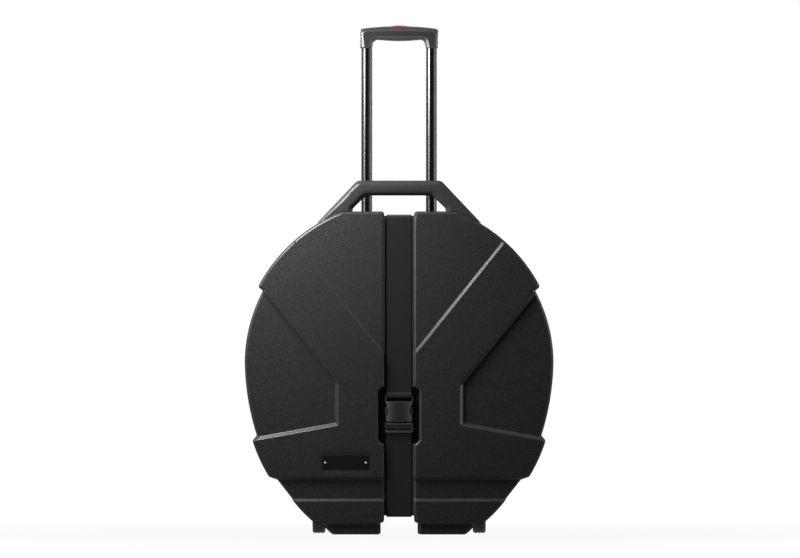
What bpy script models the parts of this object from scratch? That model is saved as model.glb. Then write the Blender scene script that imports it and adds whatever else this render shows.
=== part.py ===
"""A wheeled cymbal case: two moulded shells held by a strap, with a pull-out tow handle.

X runs across the case, the lid faces -Y, and Z is up from the floor.
"""

import math

import bmesh
import bpy
from mathutils import Matrix, Vector

# Driving dimensions, in metres.
BODY_WIDTH = 0.619
BODY_DEPTH = 0.200
BODY_TOP = 0.646
BODY_BOTTOM = 0.022
WALL = 0.004
GAP = 0.0003
OVERRUN = 0.010
STRAP_WIDTH = 0.050
STRAP_THICK = 0.002
TUBE_SPACING = 0.130
WHEEL_RADIUS = 0.034

# Corners of the shells' outline, as shares of half the width and of the height above the bottom.
CORNER_SHARES = {
    "top": (0.3658, 1.0000),
    "band": (0.9141, 0.7580),
    "side": (0.8817, 0.7452),
    "widest": (1.0000, 0.5208),
    "flank": (0.9215, 0.2804),
    "hip": (0.9499, 0.2644),
    "waist": (0.8433, 0.1482),
    "waist_high": (0.7884, 0.1386),
    "waist_low": (0.6947, 0.0793),
    "base": (0.6888, 0.0721),
    "bottom": (0.5486, 0.0000),
    "band_foot": (0.3910, 0.4519),
    "band_head": (0.9564, 0.7982),
    "shoulder": (0.3910, 0.3144),
    "shoulder_end": (1.0372, 0.2558),
    "crease": (0.0000, 0.4778),
    "crease_end": (0.7431, 0.9381),
}
UPPER_RADIUS, SIDE_RADIUS, FLANK_RADIUS = 0.3184, 0.3096, 0.5104
LOWER_RADIUS, BASE_RADIUS = 0.3078, 0.2686

# The two shells meet on this plane, and the base's tongue sits in the lid's rim.
PARTING_Y = -0.008
TONGUE_LENGTH = 0.008
TONGUE_WALL = 0.0017
EDGE_ROUND = 0.004

# The facets in the front and back faces.
SIDE_RECESS, WAIST_RECESS, TOP_RECESS = 0.007, 0.005, 0.003
SIDE_SLANT = 0.0065
STEP_SLANT = 0.0015
WAIST_SLANT = 0.0025

# The strap's channel and the buckle's pocket.
CHANNEL_HALF, CHANNEL_DRAFT = 0.0300, 0.0025
CHANNEL_DEPTH = 0.012
TOP_CHANNEL_DEPTH, BOTTOM_CHANNEL_DEPTH, BACK_CHANNEL_DEPTH = 0.0085, 0.0145, 0.005
POCKET_HALF, POCKET_DEPTH = 0.043, 0.018
POCKET_LOW_Z, POCKET_HIGH_Z, POCKET_CORNER = 0.180, 0.296, 0.010

# The moulded feet.
FOOT_INNER, FOOT_OUTER, FOOT_FLARE = 0.037, 0.133, 0.025
FOOT_SETBACK, FOOT_CORNER = 0.004, 0.005
REAR_FOOT_DEPTH = 0.022

# The carry handle, part of the base.
LOOP_FRONT_Y, LOOP_DEPTH = -0.004, 0.028
LOOP_RISE, LOOP_BAR = 0.062, 0.030
LOOP_TOP_HALF, LOOP_FOOT_HALF, LOOP_SINK = 0.081, 0.1755, 0.036
EYE_TOP_HALF, EYE_HALF, EYE_CORNER = 0.066, 0.0926, 0.026
LOOP_ROUND = 0.006

# The tow handle.
HANDLE_TUBE_RADIUS, HANDLE_TUBE_WALL = 0.0110, 0.0012
FIXED_TUBE_RADIUS, FIXED_TUBE_WALL = 0.0135, 0.0012
TUBE_OVERLAP = 0.080
SOCKET_LOW_Z = 0.9745
GRIP_WIDTH, GRIP_HEIGHT, GRIP_DEPTH = 0.160, 0.0445, 0.030
GRIP_BAR, GRIP_ARCH, SOCKET_WIDTH = 0.028, 0.0055, 0.028
BUTTON_WIDTH, BUTTON_DEPTH, BUTTON_PROUD = 0.032, 0.016, 0.0016
BUTTON_TRAVEL, BUTTON_HEIGHT = 0.004, 0.009
YOKE_HEIGHT, YOKE_DEPTH, ROD_RADIUS = 0.005, 0.010, 0.003
SPRING_RADIUS, SPRING_WIRE, SPRING_ROOM = 0.0035, 0.0005, 0.005
PIN_RADIUS, PIN_LENGTH, PIN_RISE = 0.003, 0.014, 0.012
BUSH_LENGTH, BUSH_FLANGE = 0.016, 0.003

# The channels at the back for the fixed tubes, and what holds the tubes in them.
FLANGE_THICK, SCREW_HEAD_HEIGHT, SCREW_HEAD_RADIUS, SCREW_RADIUS = 0.003, 0.0012, 0.0035, 0.0018
GROOVE_HALF, GROOVE_LOW_Z = 0.0175, 0.150
BRACKET_HEIGHT, FLANGE_WING = 0.036, 0.013
SCREW_LENGTH = 0.012

# Wheels.
WHEEL_WIDTH, WHEEL_OUTER_X, WHEEL_Y = 0.026, 0.174, 0.064
WELL_CLEARANCE, TYRE_THICK, TYRE_ROUND = 0.004, 0.009, 0.005
AXLE_RADIUS, AXLE_HEAD_RADIUS, AXLE_HEAD = 0.003, 0.0055, 0.0035
NUT_RADIUS, NUT_THICK, WASHER_RADIUS = 0.0052, 0.005, 0.0070
HUB_BOSS_RADIUS = 0.009

# Inside the case.
PAD_THICK, LID_PAD_RADIUS, BASE_PAD_RADIUS = 0.012, 0.150, 0.190
POST_Z, POST_RADIUS, POST_FLANGE_RADIUS, POST_FLANGE_THICK = 0.335, 0.004, 0.022, 0.004
POST_LENGTH, SLEEVE_WALL, SLEEVE_LENGTH = 0.104, 0.0015, 0.030
POST_SINK = 0.003
FELT_RADIUS, FELT_THICK = 0.020, 0.008
WING_SPAN, WING_HEIGHT, WING_THICK, WING_HUB_RADIUS, WING_HUB_HEIGHT = 0.036, 0.013, 0.003, 0.008, 0.011

# The buckle.
BUCKLE_HALF, BUCKLE_THICK = 0.0279, 0.012
BUCKLE_TOP_Z, BUCKLE_SLOT_LOW, BUCKLE_BAR, BUCKLE_BAR_LOW = 0.2785, 0.2660, 0.0026, 0.2745
SEWN_END, SEWN_LENGTH = 0.2905, 0.0080
SOCKET_BODY_LOW, SOCKET_BODY_HALF, BUCKLE_WALL = 0.2260, 0.0262, 0.0022
WINDOW_HIGH, WINDOW_LOW, WINDOW_DEPTH = 0.2590, 0.2350, 0.0055
PLUG_LOW, PLUG_TOP, LADDER_BAR, LADDER_SLOT = 0.2030, 0.2225, 0.0045, 0.0050
TONGUE_HALF, PLUG_TONGUE_TOP, TONGUE_THICK = 0.0070, 0.2520, 0.0040
PRONG_WIDTH, PRONG_TOP, PRONG_THICK = 0.0060, 0.2560, 0.0050
SQUEEZE_ROOM = 0.0035

# The plate on the lid.
PLATE_X, PLATE_Z, PLATE_WIDTH, PLATE_HEIGHT = -0.107, 0.1440, 0.0940, 0.0280
PLATE_THICK, PLATE_SINK, PLATE_CORNER = 0.0015, 0.0020, 0.0020
RIVET_RADIUS, RIVET_LENGTH, RIVET_INSET, RIVET_HEAD = 0.0013, 0.0028, 0.0065, 0.0004

FRONT_Y = -BODY_DEPTH / 2
HARDWARE_Y = BODY_DEPTH / 2
FLANGE_Y = HARDWARE_Y - SCREW_HEAD_HEIGHT
BACK_Y = FLANGE_Y - FLANGE_THICK - GAP
TUBE_X = TUBE_SPACING / 2
TUBE_Y = BACK_Y - FIXED_TUBE_RADIUS - GAP
GROOVE_Y = TUBE_Y - FIXED_TUBE_RADIUS - 2 * GAP
FRONT_FLOOR_Y = FRONT_Y + SIDE_RECESS + WALL
BACK_FLOOR_Y = BACK_Y - SIDE_RECESS - WALL
CHANNEL_FOOT = CHANNEL_HALF - CHANNEL_DRAFT

ARC_STEPS = 10
ROUND_STEPS = 24
SMALL_STEPS = 12


for old in list(bpy.data.objects):
    bpy.data.objects.remove(old, do_unlink=True)

MATERIALS = {}
LOOKS = {
    "shell": ((0.022, 0.022, 0.023), 0.45, 0.0),
    "web": ((0.016, 0.016, 0.017), 0.85, 0.0),
    "acetal": ((0.020, 0.020, 0.021), 0.35, 0.0),
    "tube": ((0.010, 0.010, 0.011), 0.15, 0.0),
    "steel": ((0.45, 0.45, 0.46), 0.30, 1.0),
    "red": ((0.55, 0.01, 0.02), 0.35, 0.0),
    "tread": ((0.012, 0.012, 0.012), 0.75, 0.0),
    "foam": ((0.030, 0.030, 0.032), 0.95, 0.0),
    "plate": ((0.015, 0.015, 0.016), 0.25, 0.0),
}


def material(look):
    if look not in MATERIALS:
        colour, roughness, metallic = LOOKS[look]
        made = bpy.data.materials.new(look)
        made.use_nodes = True
        shader = made.node_tree.nodes["Principled BSDF"]
        shader.inputs["Base Color"].default_value = (*colour, 1.0)
        shader.inputs["Roughness"].default_value = roughness
        shader.inputs["Metallic"].default_value = metallic
        MATERIALS[look] = made
    return MATERIALS[look]


def finish(name, mesh, look, smooth_degrees=30):
    """Turns a bmesh into a named object with its material and shading."""
    bmesh.ops.remove_doubles(mesh, verts=mesh.verts, dist=1e-7)
    bmesh.ops.recalc_face_normals(mesh, faces=mesh.faces)
    data = bpy.data.meshes.new(name)
    mesh.to_mesh(data)
    mesh.free()
    data.shade_smooth()
    data.set_sharp_from_angle(angle=math.radians(smooth_degrees))
    made = bpy.data.objects.new(name, data)
    bpy.context.scene.collection.objects.link(made)
    if look:
        data.materials.append(material(look))
    else:
        made.hide_render = True
        made.display_type = "WIRE"
    return made


def combine(target, other, operation):
    """Applies one Boolean to a target object and deletes the other object."""
    modifier = target.modifiers.new("combine", "BOOLEAN")
    modifier.operation = operation
    modifier.solver = "EXACT"
    modifier.object = other
    graph = bpy.context.evaluated_depsgraph_get()
    graph.update()
    data = bpy.data.meshes.new_from_object(target.evaluated_get(graph))
    target.modifiers.remove(modifier)
    old = target.data
    target.data = data
    bpy.data.meshes.remove(old)
    bpy.data.objects.remove(other, do_unlink=True)
    return target


def cut(target, *cutters):
    for cutter in cutters:
        combine(target, cutter, "DIFFERENCE")
    return target


def weld(target, *others):
    for other in others:
        combine(target, other, "UNION")
    return target


def loft(rings, name="guide", look=None):
    """A closed solid through rings of points with the same count."""
    mesh = bmesh.new()
    loops = []
    for ring in rings:
        verts = [mesh.verts.new(point) for point in ring]
        loops.append([mesh.edges.new((a, b)) for a, b in zip(verts, verts[1:] + verts[:1])])
    for first, second in zip(loops, loops[1:]):
        bmesh.ops.bridge_loops(mesh, edges=first + second)
    bmesh.ops.holes_fill(mesh, edges=loops[0])
    bmesh.ops.holes_fill(mesh, edges=loops[-1])
    return finish(name, mesh, look)


def along_y(points, depth):
    return [(x, depth, z) for x, z in points]


def prism(points, near, far, name="guide", look=None):
    """An outline in X and Z, from one Y to another."""
    return loft([along_y(points, near), along_y(points, far)], name, look)


def slanted(surface, foot, face, floor):
    """A cutter whose outline at the face narrows to its foot at the floor."""
    beyond = face + (face - floor)
    return loft([along_y(surface, beyond), along_y(surface, face), along_y(foot, floor)])


def box(low, high, name="guide", look=None):
    mesh = bmesh.new()
    bmesh.ops.create_cube(mesh, size=1)
    size = [b - a for a, b in zip(low, high)]
    middle = [(a + b) / 2 for a, b in zip(low, high)]
    bmesh.ops.scale(mesh, vec=size, verts=mesh.verts)
    bmesh.ops.translate(mesh, vec=middle, verts=mesh.verts)
    return finish(name, mesh, look)


TURNS = {
    "x": Matrix.Rotation(math.pi / 2, 3, "Y"),
    "y": Matrix.Rotation(-math.pi / 2, 3, "X"),
    "z": Matrix.Identity(3),
}


def turned(profile, at, axis="z", steps=ROUND_STEPS, name="guide", look=None):
    """Spins a closed profile of (radius, height) points about an axis through a point."""
    mesh = bmesh.new()
    verts = [mesh.verts.new((radius, 0, height)) for radius, height in profile]
    edges = [mesh.edges.new((a, b)) for a, b in zip(verts, verts[1:] + verts[:1])]
    bmesh.ops.spin(
        mesh, geom=verts + edges, cent=(0, 0, 0), axis=(0, 0, 1),
        angle=2 * math.pi, steps=steps, use_merge=True, use_duplicate=False,
    )
    bmesh.ops.remove_doubles(mesh, verts=mesh.verts, dist=1e-6)
    bmesh.ops.dissolve_degenerate(mesh, dist=1e-7, edges=mesh.edges)
    bmesh.ops.rotate(mesh, cent=(0, 0, 0), matrix=TURNS[axis], verts=mesh.verts)
    bmesh.ops.translate(mesh, vec=at, verts=mesh.verts)
    return finish(name, mesh, look)


def rod(radius, at, length, axis="z", steps=ROUND_STEPS, name="guide", look=None):
    """A plain cylinder from a point, along an axis."""
    return turned([(0, 0), (radius, 0), (radius, length), (0, length)], at, axis, steps, name, look)


def pipe(outer, inner, at, length, axis="z", steps=ROUND_STEPS, name="guide", look=None):
    profile = [(inner, 0), (outer, 0), (outer, length), (inner, length)]
    return turned(profile, at, axis, steps, name, look)


def mirrored(points):
    """A right half, from top to bottom, made a whole outline."""
    return points + [(-x, z) for x, z in reversed(points)]


def corner(name):
    """A named corner on the right side, from its shares of the body's size."""
    across, up = CORNER_SHARES[name]
    return Vector((across * BODY_WIDTH / 2, BODY_BOTTOM + up * (BODY_TOP - BODY_BOTTOM)))


def arc(start_name, end_name, radius, inset, high_shift, low_shift, steps=ARC_STEPS):
    """Points down an arc that bulges to the right between two named corners.

    The inset takes its radius in, and the shifts move its ends up.
    """
    high, low = corner(start_name), corner(end_name)
    chord = low - high
    across = Vector((chord.y, -chord.x)).normalized()
    reach = math.sqrt(max(radius ** 2 - (chord.length / 2) ** 2, 0))
    centre = (high + low) / 2 + across * reach
    inner = radius - inset
    start = math.asin((high.y + high_shift - centre.y) / inner)
    end = math.asin((low.y + low_shift - centre.y) / inner)
    angles = [start + (end - start) * step / steps for step in range(steps + 1)]
    return [(centre.x + inner * math.cos(angle), centre.y + inner * math.sin(angle)) for angle in angles]


def shell_outline(inset=0.0):
    """The case's outline, or one that lies the inset inside it."""
    few = ARC_STEPS // 2
    waist_high, waist_low = corner("waist_high"), corner("waist_low")
    half = arc("top", "band", UPPER_RADIUS, inset, -inset, inset)
    half += arc("side", "widest", SIDE_RADIUS, inset, inset, 0)
    half += arc("widest", "flank", FLANK_RADIUS, inset, 0, -inset)[1:]
    half += arc("hip", "waist", LOWER_RADIUS, inset, -inset, inset, few)
    slope = (waist_high.x - waist_low.x) / (waist_high.y - waist_low.y)
    shift = inset * math.sqrt(1 + slope * slope)
    half.append((waist_high.x + slope * inset - shift, waist_high.y + inset))
    half.append((waist_low.x - slope * inset - shift, waist_low.y - inset))
    half += arc("base", "bottom", BASE_RADIUS, inset, -inset, inset, few)
    return mirrored(half)


def side_mirror(points):
    return [(-x, z) for x, z in reversed(points)]


def facets(face, inward, with_top):
    """Cutters for the recessed facets of one face, on both sides."""
    out = BODY_WIDTH
    waist_z, base_z = corner("waist").y, corner("base").y
    names = ("band_foot", "band_head", "shoulder_end", "shoulder")
    foot_low, head, end, shoulder = (corner(name) for name in names)
    fall = (end.y - shoulder.y) / (end.x - shoulder.x)
    low_z = shoulder.y + fall * (out - shoulder.x)
    surface = [tuple(foot_low), tuple(head), (out, head.y), (out, low_z), tuple(shoulder)]
    foot = [
        (foot_low.x + SIDE_SLANT, foot_low.y),
        (head.x + SIDE_SLANT, head.y),
        (out, head.y),
        (out, low_z + SIDE_SLANT),
        (shoulder.x + SIDE_SLANT, shoulder.y + SIDE_SLANT),
    ]
    waist = [(-out, waist_z), (out, waist_z), (out, base_z), (-out, base_z)]
    waist_foot = [
        (-out, waist_z - WAIST_SLANT), (out, waist_z - WAIST_SLANT),
        (out, base_z + WAIST_SLANT), (-out, base_z + WAIST_SLANT),
    ]
    floor = face + inward * SIDE_RECESS
    cutters = [
        slanted(surface, foot, face, floor),
        slanted(side_mirror(surface), side_mirror(foot), face, floor),
        slanted(waist, waist_foot, face, face + inward * WAIST_RECESS),
    ]
    if with_top:
        start, end = corner("crease"), corner("crease_end")
        above = BODY_TOP + OVERRUN
        wedge = [tuple(start), tuple(end), (end.x, above), (0, above)]
        wedge_foot = [(x, z + STEP_SLANT) for x, z in wedge]
        floor = face + inward * TOP_RECESS
        cutters.append(slanted(wedge, wedge_foot, face, floor))
        cutters.append(slanted(side_mirror(wedge), side_mirror(wedge_foot), face, floor))
    return cutters


def channel(face, inward, depth):
    """A cutter for the strap's channel down one face."""
    top, low = BODY_TOP + OVERRUN, BODY_BOTTOM - OVERRUN
    mouth = [(-CHANNEL_HALF, top), (CHANNEL_HALF, top), (CHANNEL_HALF, low), (-CHANNEL_HALF, low)]
    foot = [(-CHANNEL_FOOT, top), (CHANNEL_FOOT, top), (CHANNEL_FOOT, low), (-CHANNEL_FOOT, low)]
    return slanted(mouth, foot, face, face + inward * depth)


def ends_channel(near, far):
    """Cutters for the strap's channel over the top and under the bottom."""
    top = box((-CHANNEL_HALF, near, BODY_TOP - TOP_CHANNEL_DEPTH), (CHANNEL_HALF, far, BODY_TOP + OVERRUN))
    low_top = BODY_BOTTOM + BOTTOM_CHANNEL_DEPTH
    low = box((-CHANNEL_HALF, near, BODY_BOTTOM - OVERRUN), (CHANNEL_HALF, far, low_top))
    return top, low


def pocket_outline(margin=0.0):
    half = POCKET_HALF + margin
    high, low = POCKET_HIGH_Z + margin, POCKET_LOW_Z - margin
    corner = POCKET_CORNER
    return mirrored([
        (half - corner, high), (half, high - corner), (half, low + corner), (half - corner, low),
    ])


def foot_pad(near, far, side):
    """One moulded foot under a shell."""
    top = BODY_BOTTOM + WALL
    points = [
        (FOOT_INNER, top), (FOOT_OUTER + FOOT_FLARE, top), (FOOT_OUTER + FOOT_FLARE, BODY_BOTTOM),
        (FOOT_OUTER, 0), (FOOT_INNER + FOOT_CORNER, 0), (FOOT_INNER, FOOT_CORNER),
    ]
    if side < 0:
        points = side_mirror(points)
    return prism(points, near, far)


def ribs_and_hollow(hollow, near, far, front_side):
    """Takes the strap channel's ribs out of a shell's hollow."""
    half = CHANNEL_HALF + WALL
    top = BODY_TOP - TOP_CHANNEL_DEPTH - WALL
    low = BODY_BOTTOM + BOTTOM_CHANNEL_DEPTH + WALL
    cut(hollow, box((-half, near, top), (half, far, BODY_TOP + OVERRUN)))
    cut(hollow, box((-half, near, BODY_BOTTOM - OVERRUN), (half, far, low)))
    if front_side:
        floor = FRONT_Y + CHANNEL_DEPTH + WALL
        cut(hollow, box((-half, FRONT_Y, 0), (half, floor, BODY_TOP + OVERRUN)))
        cut(hollow, prism(pocket_outline(WALL), FRONT_Y, FRONT_Y + POCKET_DEPTH + WALL))
    return hollow


def build_front_shell():
    """The lid, hollow behind, with its rim rebated for the base's tongue."""
    rings = [
        along_y(shell_outline(EDGE_ROUND), FRONT_Y),
        along_y(shell_outline(EDGE_ROUND / 3), FRONT_Y + EDGE_ROUND / 3),
        along_y(shell_outline(), FRONT_Y + EDGE_ROUND),
        along_y(shell_outline(), PARTING_Y - GAP),
    ]
    lid = loft(rings, "front_shell", "shell")
    foot_front = FRONT_Y + FOOT_SETBACK
    weld(lid, *(foot_pad(foot_front, PARTING_Y - GAP, side) for side in (1, -1)))
    cut(lid, *facets(FRONT_Y, 1, True))
    cut(lid, channel(FRONT_Y, 1, CHANNEL_DEPTH), *ends_channel(FRONT_Y - OVERRUN, PARTING_Y + OVERRUN))
    cut(lid, prism(pocket_outline(), FRONT_Y - OVERRUN, FRONT_Y + POCKET_DEPTH))
    plate_half, plate_tall = PLATE_WIDTH / 2 + GAP, PLATE_HEIGHT / 2 + GAP
    cut(lid, box(
        (PLATE_X - plate_half, FRONT_Y - OVERRUN, PLATE_Z - plate_tall),
        (PLATE_X + plate_half, FRONT_Y + PLATE_SINK, PLATE_Z + plate_tall),
    ))
    for x in rivet_places():
        cut(lid, rod(RIVET_RADIUS + GAP, (x, FRONT_Y, PLATE_Z), RIVET_LENGTH + GAP, "y", SMALL_STEPS))
    hollow = prism(shell_outline(WALL), FRONT_FLOOR_Y, PARTING_Y + OVERRUN)
    cut(lid, ribs_and_hollow(hollow, FRONT_Y, PARTING_Y + OVERRUN, True))
    rebate = shell_outline(WALL - TONGUE_WALL - GAP)
    cut(lid, ribs_and_hollow(prism(rebate, PARTING_Y - TONGUE_LENGTH, PARTING_Y + OVERRUN),
                             PARTING_Y - 2 * TONGUE_LENGTH, PARTING_Y + OVERRUN, False))
    return lid


def carry_loop():
    """The carry handle: a bar on two sloping legs, with rounded long edges."""
    loop_top = BODY_TOP + LOOP_RISE
    outer = mirrored([(LOOP_TOP_HALF, loop_top), (LOOP_FOOT_HALF, BODY_TOP - LOOP_SINK)])
    slim = mirrored([
        (LOOP_TOP_HALF - LOOP_ROUND / 2, loop_top - LOOP_ROUND),
        (LOOP_FOOT_HALF - LOOP_ROUND, BODY_TOP - LOOP_SINK),
    ])
    back = LOOP_FRONT_Y + LOOP_DEPTH
    loop = loft([
        along_y(slim, LOOP_FRONT_Y), along_y(outer, LOOP_FRONT_Y + LOOP_ROUND),
        along_y(outer, back - LOOP_ROUND), along_y(slim, back),
    ])
    eye_top = loop_top - LOOP_BAR
    eye = mirrored([(EYE_TOP_HALF, eye_top), (EYE_HALF, eye_top - EYE_CORNER), (EYE_HALF, BODY_TOP + GAP)])
    cut(loop, prism(eye, LOOP_FRONT_Y - OVERRUN, back + OVERRUN))
    return loop


def build_rear_shell():
    """The base: handle loop, grooves for the tow tubes, wheel wells and strap channel."""
    rings = [
        along_y(shell_outline(), PARTING_Y),
        along_y(shell_outline(), BACK_Y - EDGE_ROUND),
        along_y(shell_outline(EDGE_ROUND / 3), BACK_Y - EDGE_ROUND / 3),
        along_y(shell_outline(EDGE_ROUND), BACK_Y),
    ]
    base = loft(rings, "rear_shell", "shell")
    weld(base, carry_loop(), *(foot_pad(PARTING_Y, PARTING_Y + REAR_FOOT_DEPTH, side) for side in (1, -1)))
    cut(base, *facets(BACK_Y, -1, False))
    cut(base, channel(BACK_Y, -1, BACK_CHANNEL_DEPTH), *ends_channel(PARTING_Y - OVERRUN, BACK_Y + OVERRUN))
    hollow = ribs_and_hollow(
        prism(shell_outline(WALL), PARTING_Y - OVERRUN, BACK_FLOOR_Y), PARTING_Y - OVERRUN, BACK_Y, False)
    well_x, well_y, well_z = well_corner()
    for side in (1, -1):
        x = side * TUBE_X
        cut(base, box(
            (x - GROOVE_HALF, GROOVE_Y, GROOVE_LOW_Z),
            (x + GROOVE_HALF, BACK_Y + OVERRUN, BODY_TOP + OVERRUN),
        ))
        cut(hollow, box(
            (x - GROOVE_HALF - WALL, GROOVE_Y - WALL, GROOVE_LOW_Z - WALL),
            (x + GROOVE_HALF + WALL, BACK_Y, BODY_TOP + OVERRUN),
        ))
        xs = sorted((side * well_x, side * BODY_WIDTH))
        cut(base, box((xs[0], well_y, -OVERRUN), (xs[1], BACK_Y + OVERRUN, well_z)))
        xs = sorted((side * (well_x - WALL), side * BODY_WIDTH))
        cut(hollow, box((xs[0], well_y - WALL, -OVERRUN), (xs[1], BACK_Y, well_z + WALL)))
    cut(base, hollow)
    tongue = prism(shell_outline(WALL - TONGUE_WALL), PARTING_Y - TONGUE_LENGTH + GAP, PARTING_Y + WALL)
    cut(tongue, prism(shell_outline(WALL), PARTING_Y - 2 * TONGUE_LENGTH, PARTING_Y + 2 * WALL))
    half = CHANNEL_HALF + WALL + GAP
    far = PARTING_Y - GAP
    cut(tongue, box((-half, PARTING_Y - 2 * TONGUE_LENGTH, 0), (half, far + OVERRUN, BODY_TOP)))
    weld(base, tongue)
    for side in (1, -1):
        start = (well_x - 2 * WALL, WHEEL_Y, WHEEL_RADIUS)
        axle_hole = rod(AXLE_RADIUS + GAP, start, 3 * WALL, "x", SMALL_STEPS)
        if side < 0:
            axle_hole.data.transform(Matrix.Scale(-1, 4, (1, 0, 0)))
            axle_hole.data.flip_normals()
        cut(base, axle_hole)
    for x, z in bracket_screw_places():
        cut(base, rod(SCREW_RADIUS + GAP, (x, BACK_Y - SCREW_LENGTH - OVERRUN, z),
                      SCREW_LENGTH + 2 * OVERRUN, "y", SMALL_STEPS))
    cut(base, rod(POST_RADIUS + GAP, (0, BACK_FLOOR_Y - OVERRUN, POST_Z), BODY_DEPTH, "y", SMALL_STEPS))
    return base


def well_corner():
    """The inner X, front Y and top Z of a wheel well."""
    return (
        WHEEL_OUTER_X - WHEEL_WIDTH - WELL_CLEARANCE,
        WHEEL_Y - WHEEL_RADIUS - WELL_CLEARANCE,
        2 * WHEEL_RADIUS + WELL_CLEARANCE,
    )


def rivet_places():
    reach = PLATE_WIDTH / 2 - RIVET_INSET
    return PLATE_X - reach, PLATE_X + reach


def bracket_heights():
    """The low Z of the collars and of the feet that hold the fixed tubes."""
    return BODY_TOP - BRACKET_HEIGHT - GAP, GROOVE_LOW_Z + GAP


def bracket_screw_places():
    offset = GROOVE_HALF + FLANGE_WING / 2
    return [
        (side * TUBE_X + way * offset, low + BRACKET_HEIGHT / 2)
        for low in bracket_heights() for side in (-1, 1) for way in (-1, 1)
    ]


def build_pads():
    """Foam in the lid and the base, each with a hole for the post."""
    lid_floor = FRONT_Y + POCKET_DEPTH + WALL + GAP
    hole = POST_FLANGE_RADIUS + WALL
    pipe(LID_PAD_RADIUS, hole, (0, lid_floor, POST_Z), PAD_THICK, "y", 40, "lid_pad", "foam")
    near = GROOVE_Y - WALL - GAP - PAD_THICK
    pipe(BASE_PAD_RADIUS, hole, (0, near, POST_Z), PAD_THICK, "y", 40, "base_pad", "foam")


def web(side_points, name):
    """A strap run: its side outline in Y and Z, given the strap's width."""
    half = STRAP_WIDTH / 2
    rings = [[(x, y, z) for y, z in side_points] for x in (-half, half)]
    return loft(rings, name, "web")


def strap_planes():
    """The strap's inner and outer planes on the lid, over the top, below and behind."""
    front = FRONT_Y + CHANNEL_DEPTH - GAP
    top = BODY_TOP - TOP_CHANNEL_DEPTH + GAP
    low = BODY_BOTTOM + BOTTOM_CHANNEL_DEPTH - GAP
    back = BACK_Y - BACK_CHANNEL_DEPTH + GAP
    return front, top, low, back


def build_straps():
    """The webbing in three runs, split where the shells part."""
    front, top, low, back = strap_planes()
    thick = STRAP_THICK
    parting = PARTING_Y - GAP
    fold_low = BUCKLE_BAR_LOW - GAP - thick
    fold = front - 2 * thick - BUCKLE_BAR - 2 * GAP
    upper = web([
        (front, fold_low), (front, top), (parting, top), (parting, top + thick), (front, top + thick),
        (front - thick, top), (front - thick, SEWN_END), (front - 2 * thick, SEWN_END),
        (front - 2 * thick, SEWN_END - SEWN_LENGTH), (fold, fold_low + 2 * thick + BUCKLE_BAR),
        (fold, fold_low + thick / 2), (fold + thick / 2, fold_low),
    ], "strap_upper")
    reach = STRAP_WIDTH
    cut(upper, box(
        (-reach, fold + thick, fold_low + thick), (reach, front - thick, BUCKLE_BAR_LOW + BUCKLE_BAR + GAP)))
    start = PLUG_LOW + LADDER_BAR + LADDER_SLOT - GAP
    web([
        (parting, low), (front, low), (front, start), (front - thick, start), (front - thick, low),
        (front, low - thick), (parting, low - thick),
    ], "strap_lower")
    near = PARTING_Y
    web([
        (near, top), (back, top), (back, low), (near, low), (near, low - thick), (back, low - thick),
        (back + thick, low), (back + thick, top), (back, top + thick), (near, top + thick),
    ], "strap_back")


def buckle_planes():
    """The near and far planes of the buckle, which lies over the strap's plane."""
    middle = FRONT_Y + CHANNEL_DEPTH - GAP - STRAP_THICK / 2
    return middle - BUCKLE_THICK / 2, middle + BUCKLE_THICK / 2


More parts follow.
